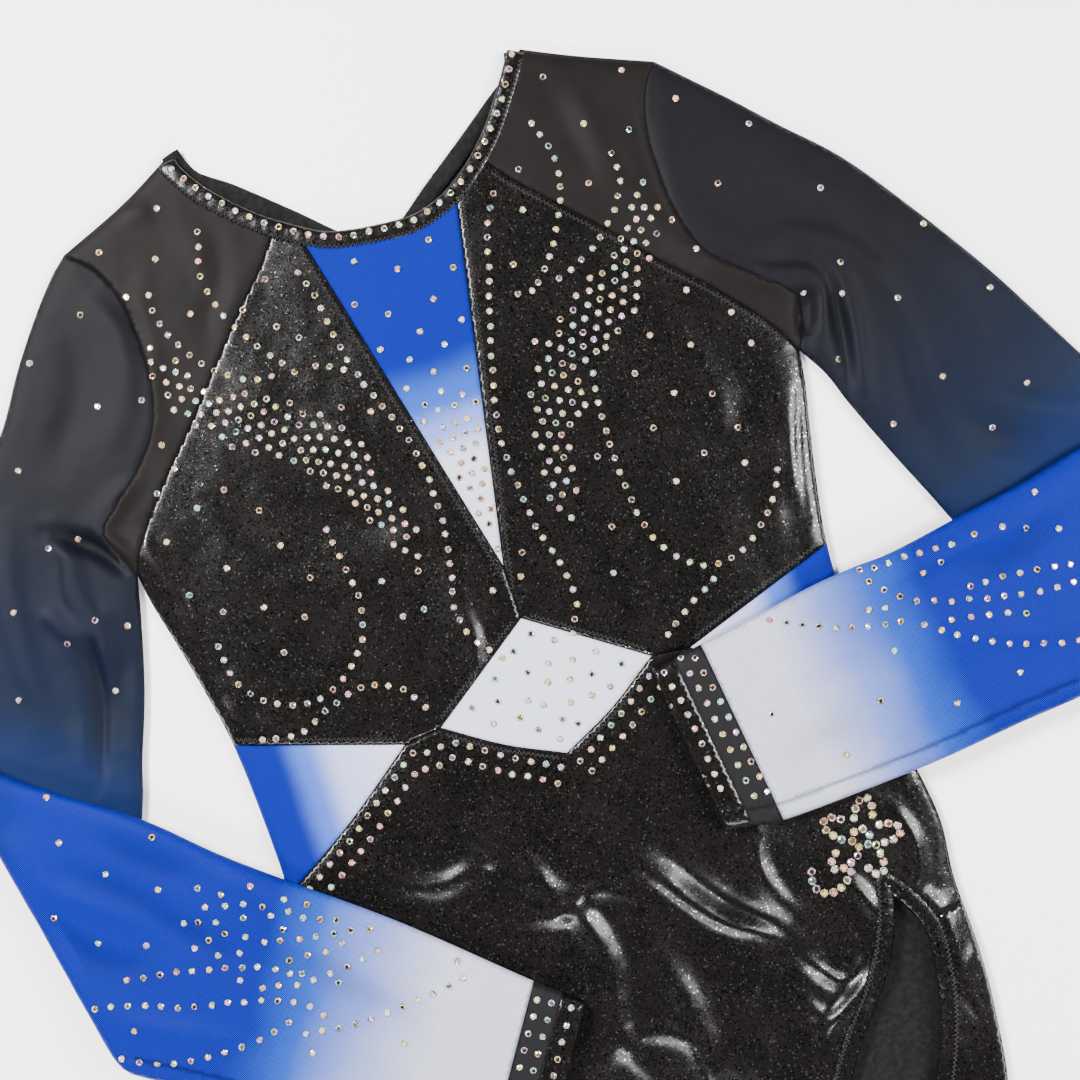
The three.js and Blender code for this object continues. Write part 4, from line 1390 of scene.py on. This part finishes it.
LOOSE_STONES = [
    (88, 262), (122.5, 253.5), (98.5, 236), (64, 226), (117, 227), (92, 210), (122, 182), (128, 166),
    (60, 208),
    (48, 186), (118, 150), (134, 134), (138, 118), (112, 126), (96, 136), (84, 122), (98, 108), (114, 102),
    (84, 96), (120, 84), (102, 78), (86, 70), (118, 68), (52, 60), (46, 40), (56, 92), (10, 62), (46, 150),
    (-96, 262), (-127, 251.5), (-104, 240.5), (-122, 228.5), (-112, 226), (-97, 212), (-130, 182),
    (-128, 160),
    (-126, 148), (-137, 140), (-122, 128), (-108, 132), (-96, 118), (-140, 118), (-118, 98), (-138, 92),
    (-92, 100), (-126, 80), (-108, 76), (-92, 66), (-106, 54), (-84, 82), (-54, 70), (-50, 52), (-40, 52),
    (-8, 50), (6, 52), (-34, 144), (-62, 194), (-54, 186), (-74, 206), (-60, 216), (-46, 150),
]
SLEEVE_STONES = {
    "left": [(141.5, 233.5), (169, 212), (147, 191), (190, 174), (168, 132), (187.5, 139.5), (229, 144),
             (184, 126), (207, 116), (248, 107), (173, 98.5), (215, 76), (187, 63), (250, 61), (229, 47)],
    "right": [(-144, 227.5), (-173, 214.5), (-150, 186), (-193, 170), (-191.5, 132.5), (-178.5, 132.5),
              (-215, 110), (-181.5, 95), (-197, 89), (-169, 88), (-226, 72), (-184, 62)],
}
FOREARM_ROWS = {
    "left": [
        [(105, -2), (125, -12), (145, -19), (160, -21)],
        [(152, 0), (162, -10), (175, -17), (200, -24), (224, -29), (246, -30)],
        [(148, -12), (165, -15), (190, -16), (215, -18), (240, -22)],
        [(163, -22), (177, -32), (195, -43), (212, -50), (232, -55)],
        [(182, -28), (195, -31), (206, -33)],
        [(156, 5), (174, 5), (192, 4)],
    ],
    "right": [
        [(-243, -68), (-222, -72), (-202, -80), (-182, -85), (-162, -90), (-148, -96), (-140, -105)],
        [(-238, -90), (-222, -100), (-202, -105), (-182, -106), (-165, -105), (-148, -100)],
        [(-218, -62), (-198, -65), (-178, -70), (-158, -76), (-148, -82)],
        [(-155, -65), (-135, -70), (-116, -73)],
        [(-150, -110), (-130, -113), (-110, -113), (-90, -111), (-76, -109)],
        [(-135, -61), (-122, -66), (-108, -75)],
        [(-162, -84), (-145, -88), (-128, -88), (-108, -85)],
        [(-170, -78), (-152, -94), (-146, -108)],
    ],
}
FOREARM_LOOSE = {
    "left": [(203, 5), (216, 4), (235, 14), (185, -2), (150, 6), (92, -42), (140, -52), (118, -70),
             (172, -64),
             (203, -60), (247, -42), (153, -33), (240, -5), (226, 0), (256, 8), (214, -36), (176, -4)],
    "right": [(-252, -4), (-227, 6), (-212, -14), (-240, -25), (-192, -28), (-175, -33), (-166, -39),
              (-225, -42),
              (-205, -50), (-186, -46), (-160, -52), (-150, -50), (-140, -50), (-222, -84), (-150, -119),
              (-76, -101), (-110, -128), (-187, -5), (-226, 27), (-246, -54), (-185, -58), (-170, -56)],
}
FOREARM_CLUSTER = {
    "right": ([(-174, -42), (-160, -56), (-144, -68), (-126, -80), (-110, -86)], [14, 22, 26, 20, 10]),
}
CUFF_ROWS = {
    "left": [[(52.5, -9), (56, -24.5), (58, -41), (60, -66)], [(62, -5.5), (66.5, -28), (69.5, -52),
              (73, -74)],
             [(68, -7.5), (72.5, -31), (76, -55), (79, -74)]],
    "right": [],
}


def belt_rows(side):
    rows = []
    for drop in (5.0, 12.0):
        lower = smooth(flip([(2, -31), DIAMOND_BELLY, (46, -4), (58, -5), WAIST_TIP, WAIST_BELLY, (132, -46)], side))
        sign = 1 if offset(lower, 1)[3][1] < lower[3][1] else -1
        rows += row(offset(lower, sign * drop), 7.0, 0.3)
    return rows


def motif():
    """The hip motif: an open five-petal flower round a ring, with a curling stem, in larger stones."""
    turn = np.linspace(0, 2 * math.pi, 200)
    reach = 13.0 + 5.5 * np.cos(5 * turn + 0.6)
    petals = np.stack([np.cos(turn) * reach, np.sin(turn) * reach], axis=1)
    ring = np.stack([np.cos(turn) * 4.2, np.sin(turn) * 4.2], axis=1)
    stem = smooth([(-9, -13), (-15, -18), (-22, -19), (-27, -14), (-26, -7)], 1)
    stones = [evenly(petals, 4.2)[:-1], evenly(ring, 4.2)[:-1], evenly(stem, 4.2)]
    return np.vstack(stones) + MOTIF_CENTRE


MOTIF_CENTRE = (113, -109)


def spread(stones, apart):
    """The stones in order, without any that would touch one already set."""
    kept = []
    for stone in stones:
        if all((stone[0] - x) ** 2 + (stone[1] - y) ** 2 > apart**2 for x, y in kept):
            kept.append((float(stone[0]), float(stone[1])))
    return kept


def build_crystals():
    neck = [((x, y, z + 0.85), n) for (x, y, z), n in on_front(NECK_STONES)]
    crystal_piece("neck_crystals", neck, "torso")
    inserts = spread(INSERT_STONES + INSERT_CLUSTER + DIAMOND_STONES, 4.2)
    crystal_piece("insert_crystals", on_front(inserts), "torso")
    bodice = []
    for rows, core in ((LEFT_ROWS, LEFT_SWOOSH), (RIGHT_ROWS, RIGHT_SWOOSH)):
        for line in rows:
            bodice += row(line)
        bodice += swoosh(core, SWOOSH_WIDTHS)
    bodice = spread(bodice + LOOSE_STONES, 4.4)
    insert_zone = [INSERT_TIP, (37, 240), (-42, 240)]
    bodice = [stone for stone in bodice if not inside(insert_zone, np.array([stone]))[0]]
    crystal_piece("bodice_crystals", on_front(bodice), "torso")
    crystal_piece("belt_crystals", on_front(spread(belt_rows(1) + belt_rows(-1), 4.4)), "torso")
    crystal_piece("hip_motif_crystals", on_front(spread(motif(), 3.6)), "torso", 1.95)
    for hand, sleeve in sleeves.items():
        crystal_piece(f"upper_sleeve_{hand}_crystals", on_front(SLEEVE_STONES[hand]), "torso")
        stones = []
        for line in FOREARM_ROWS[hand]:
            stones += row(line, 7.6, 0.4)
        stones += FOREARM_LOOSE[hand]
        if hand in FOREARM_CLUSTER:
            stones += swoosh(*FOREARM_CLUSTER[hand], 8.6)
        for line in CUFF_ROWS[hand] or cuff_rows(sleeve):
            stones += row(line, 7.6, 0.2)
        stones = spread(beside_fold(sleeve, stones), 5.2)
        crystal_piece(f"forearm_{hand}_crystals", on_forearm(sleeve, stones), f"forearm_{hand}")


def cuff_rows(sleeve):
    """Three rows along the cuff: one on the end band, two on the mesh strip."""
    a, b = sleeve.cuff
    across = (b - a) / np.linalg.norm(b - a)
    back = sleeve.cuff_line(0).mean(axis=0) - (a + b) / 2
    back /= np.linalg.norm(back)
    return [[tuple(a + across * 4 + back * depth), tuple(b - across * 4 + back * depth)]
            for depth in (CUFF_BAND / 2, CUFF_BAND + 3.5, CUFF_BAND + 10)]


# ---- Scene --------------------------------------------------------------------------------

def build_stage():
    floor = bpy.data.meshes.new("floor")
    floor.from_pydata([(-4, -4, -0.0004), (4, -4, -0.0004), (4, 4, -0.0004), (-4, 4, -0.0004)], [], [(0, 1, 2, 3)])
    ground = bpy.data.objects.new("floor", floor)
    bpy.context.scene.collection.objects.link(ground)
    look = Look("pale_floor", roughness=0.9, specular=0.1)
    look.set("Base Color", look.ramp(look.noise(3, 2), [(0.3, (0.88, 0.88, 0.885)), (0.7, (0.90, 0.90, 0.905))]))
    floor.materials.append(look.material)


def area_light(name, place, size, power):
    data = bpy.data.lights.new(name, "AREA")
    data.shape = "RECTANGLE"
    data.size, data.size_y = size
    data.energy = power
    lamp = bpy.data.objects.new(name, data)
    lamp.location = place
    lamp.rotation_euler = (-Vector(place)).to_track_quat("-Z", "Y").to_euler()
    bpy.context.scene.collection.objects.link(lamp)


def build_lights():
    world = bpy.data.worlds.new("studio")
    bpy.context.scene.world = world
    world.use_nodes = True
    nodes, links = world.node_tree.nodes, world.node_tree.links
    split = nodes.new("ShaderNodeSeparateXYZ")
    links.new(nodes.new("ShaderNodeTexCoord").outputs["Generated"], split.inputs[0])
    sky = nodes.new("ShaderNodeValToRGB")
    sky.color_ramp.elements.new(0.5)
    for element, (height, level) in zip(sky.color_ramp.elements, ((0.0, 1.0), (0.35, 0.55), (0.75, 0.08))):
        element.position = height
        element.color = (level * 0.97, level * 0.98, level, 1.0)
    links.new(split.outputs["Z"], sky.inputs["Fac"])
    links.new(sky.outputs["Color"], nodes["Background"].inputs["Color"])
    nodes["Background"].inputs["Strength"].default_value = 1.0
    area_light("key", (-0.66, 0.72, 1.05), (0.45, 0.45), 78)
    area_light("side", (1.0, -0.1, 0.95), (0.3, 0.9), 44)
    area_light("low", (-0.3, -1.0, 0.8), (0.9, 0.25), 24)


VIEW_CENTRE = (19.4, 64.7)
VIEW_TILT = -18.8
VIEW_WIDTH = 0.486


def build_camera():
    data = bpy.data.cameras.new("camera")
    data.lens = 60
    data.sensor_width = 36
    camera = bpy.data.objects.new("camera", data)
    height = VIEW_WIDTH * data.lens / data.sensor_width + 0.007
    camera.location = (VIEW_CENTRE[0] * MM, VIEW_CENTRE[1] * MM, height)
    camera.rotation_euler = (0, 0, math.radians(VIEW_TILT))
    bpy.context.scene.collection.objects.link(camera)
    bpy.context.scene.camera = camera


build_camera()
build_stage()
build_lights()
build_trunk()
sleeves = {hand: build_sleeve(hand) for hand in SIDES}
build_neck()
for leg_side in SIDES:
    build_leg(leg_side)
build_lining()
build_stitching()
build_crystals()
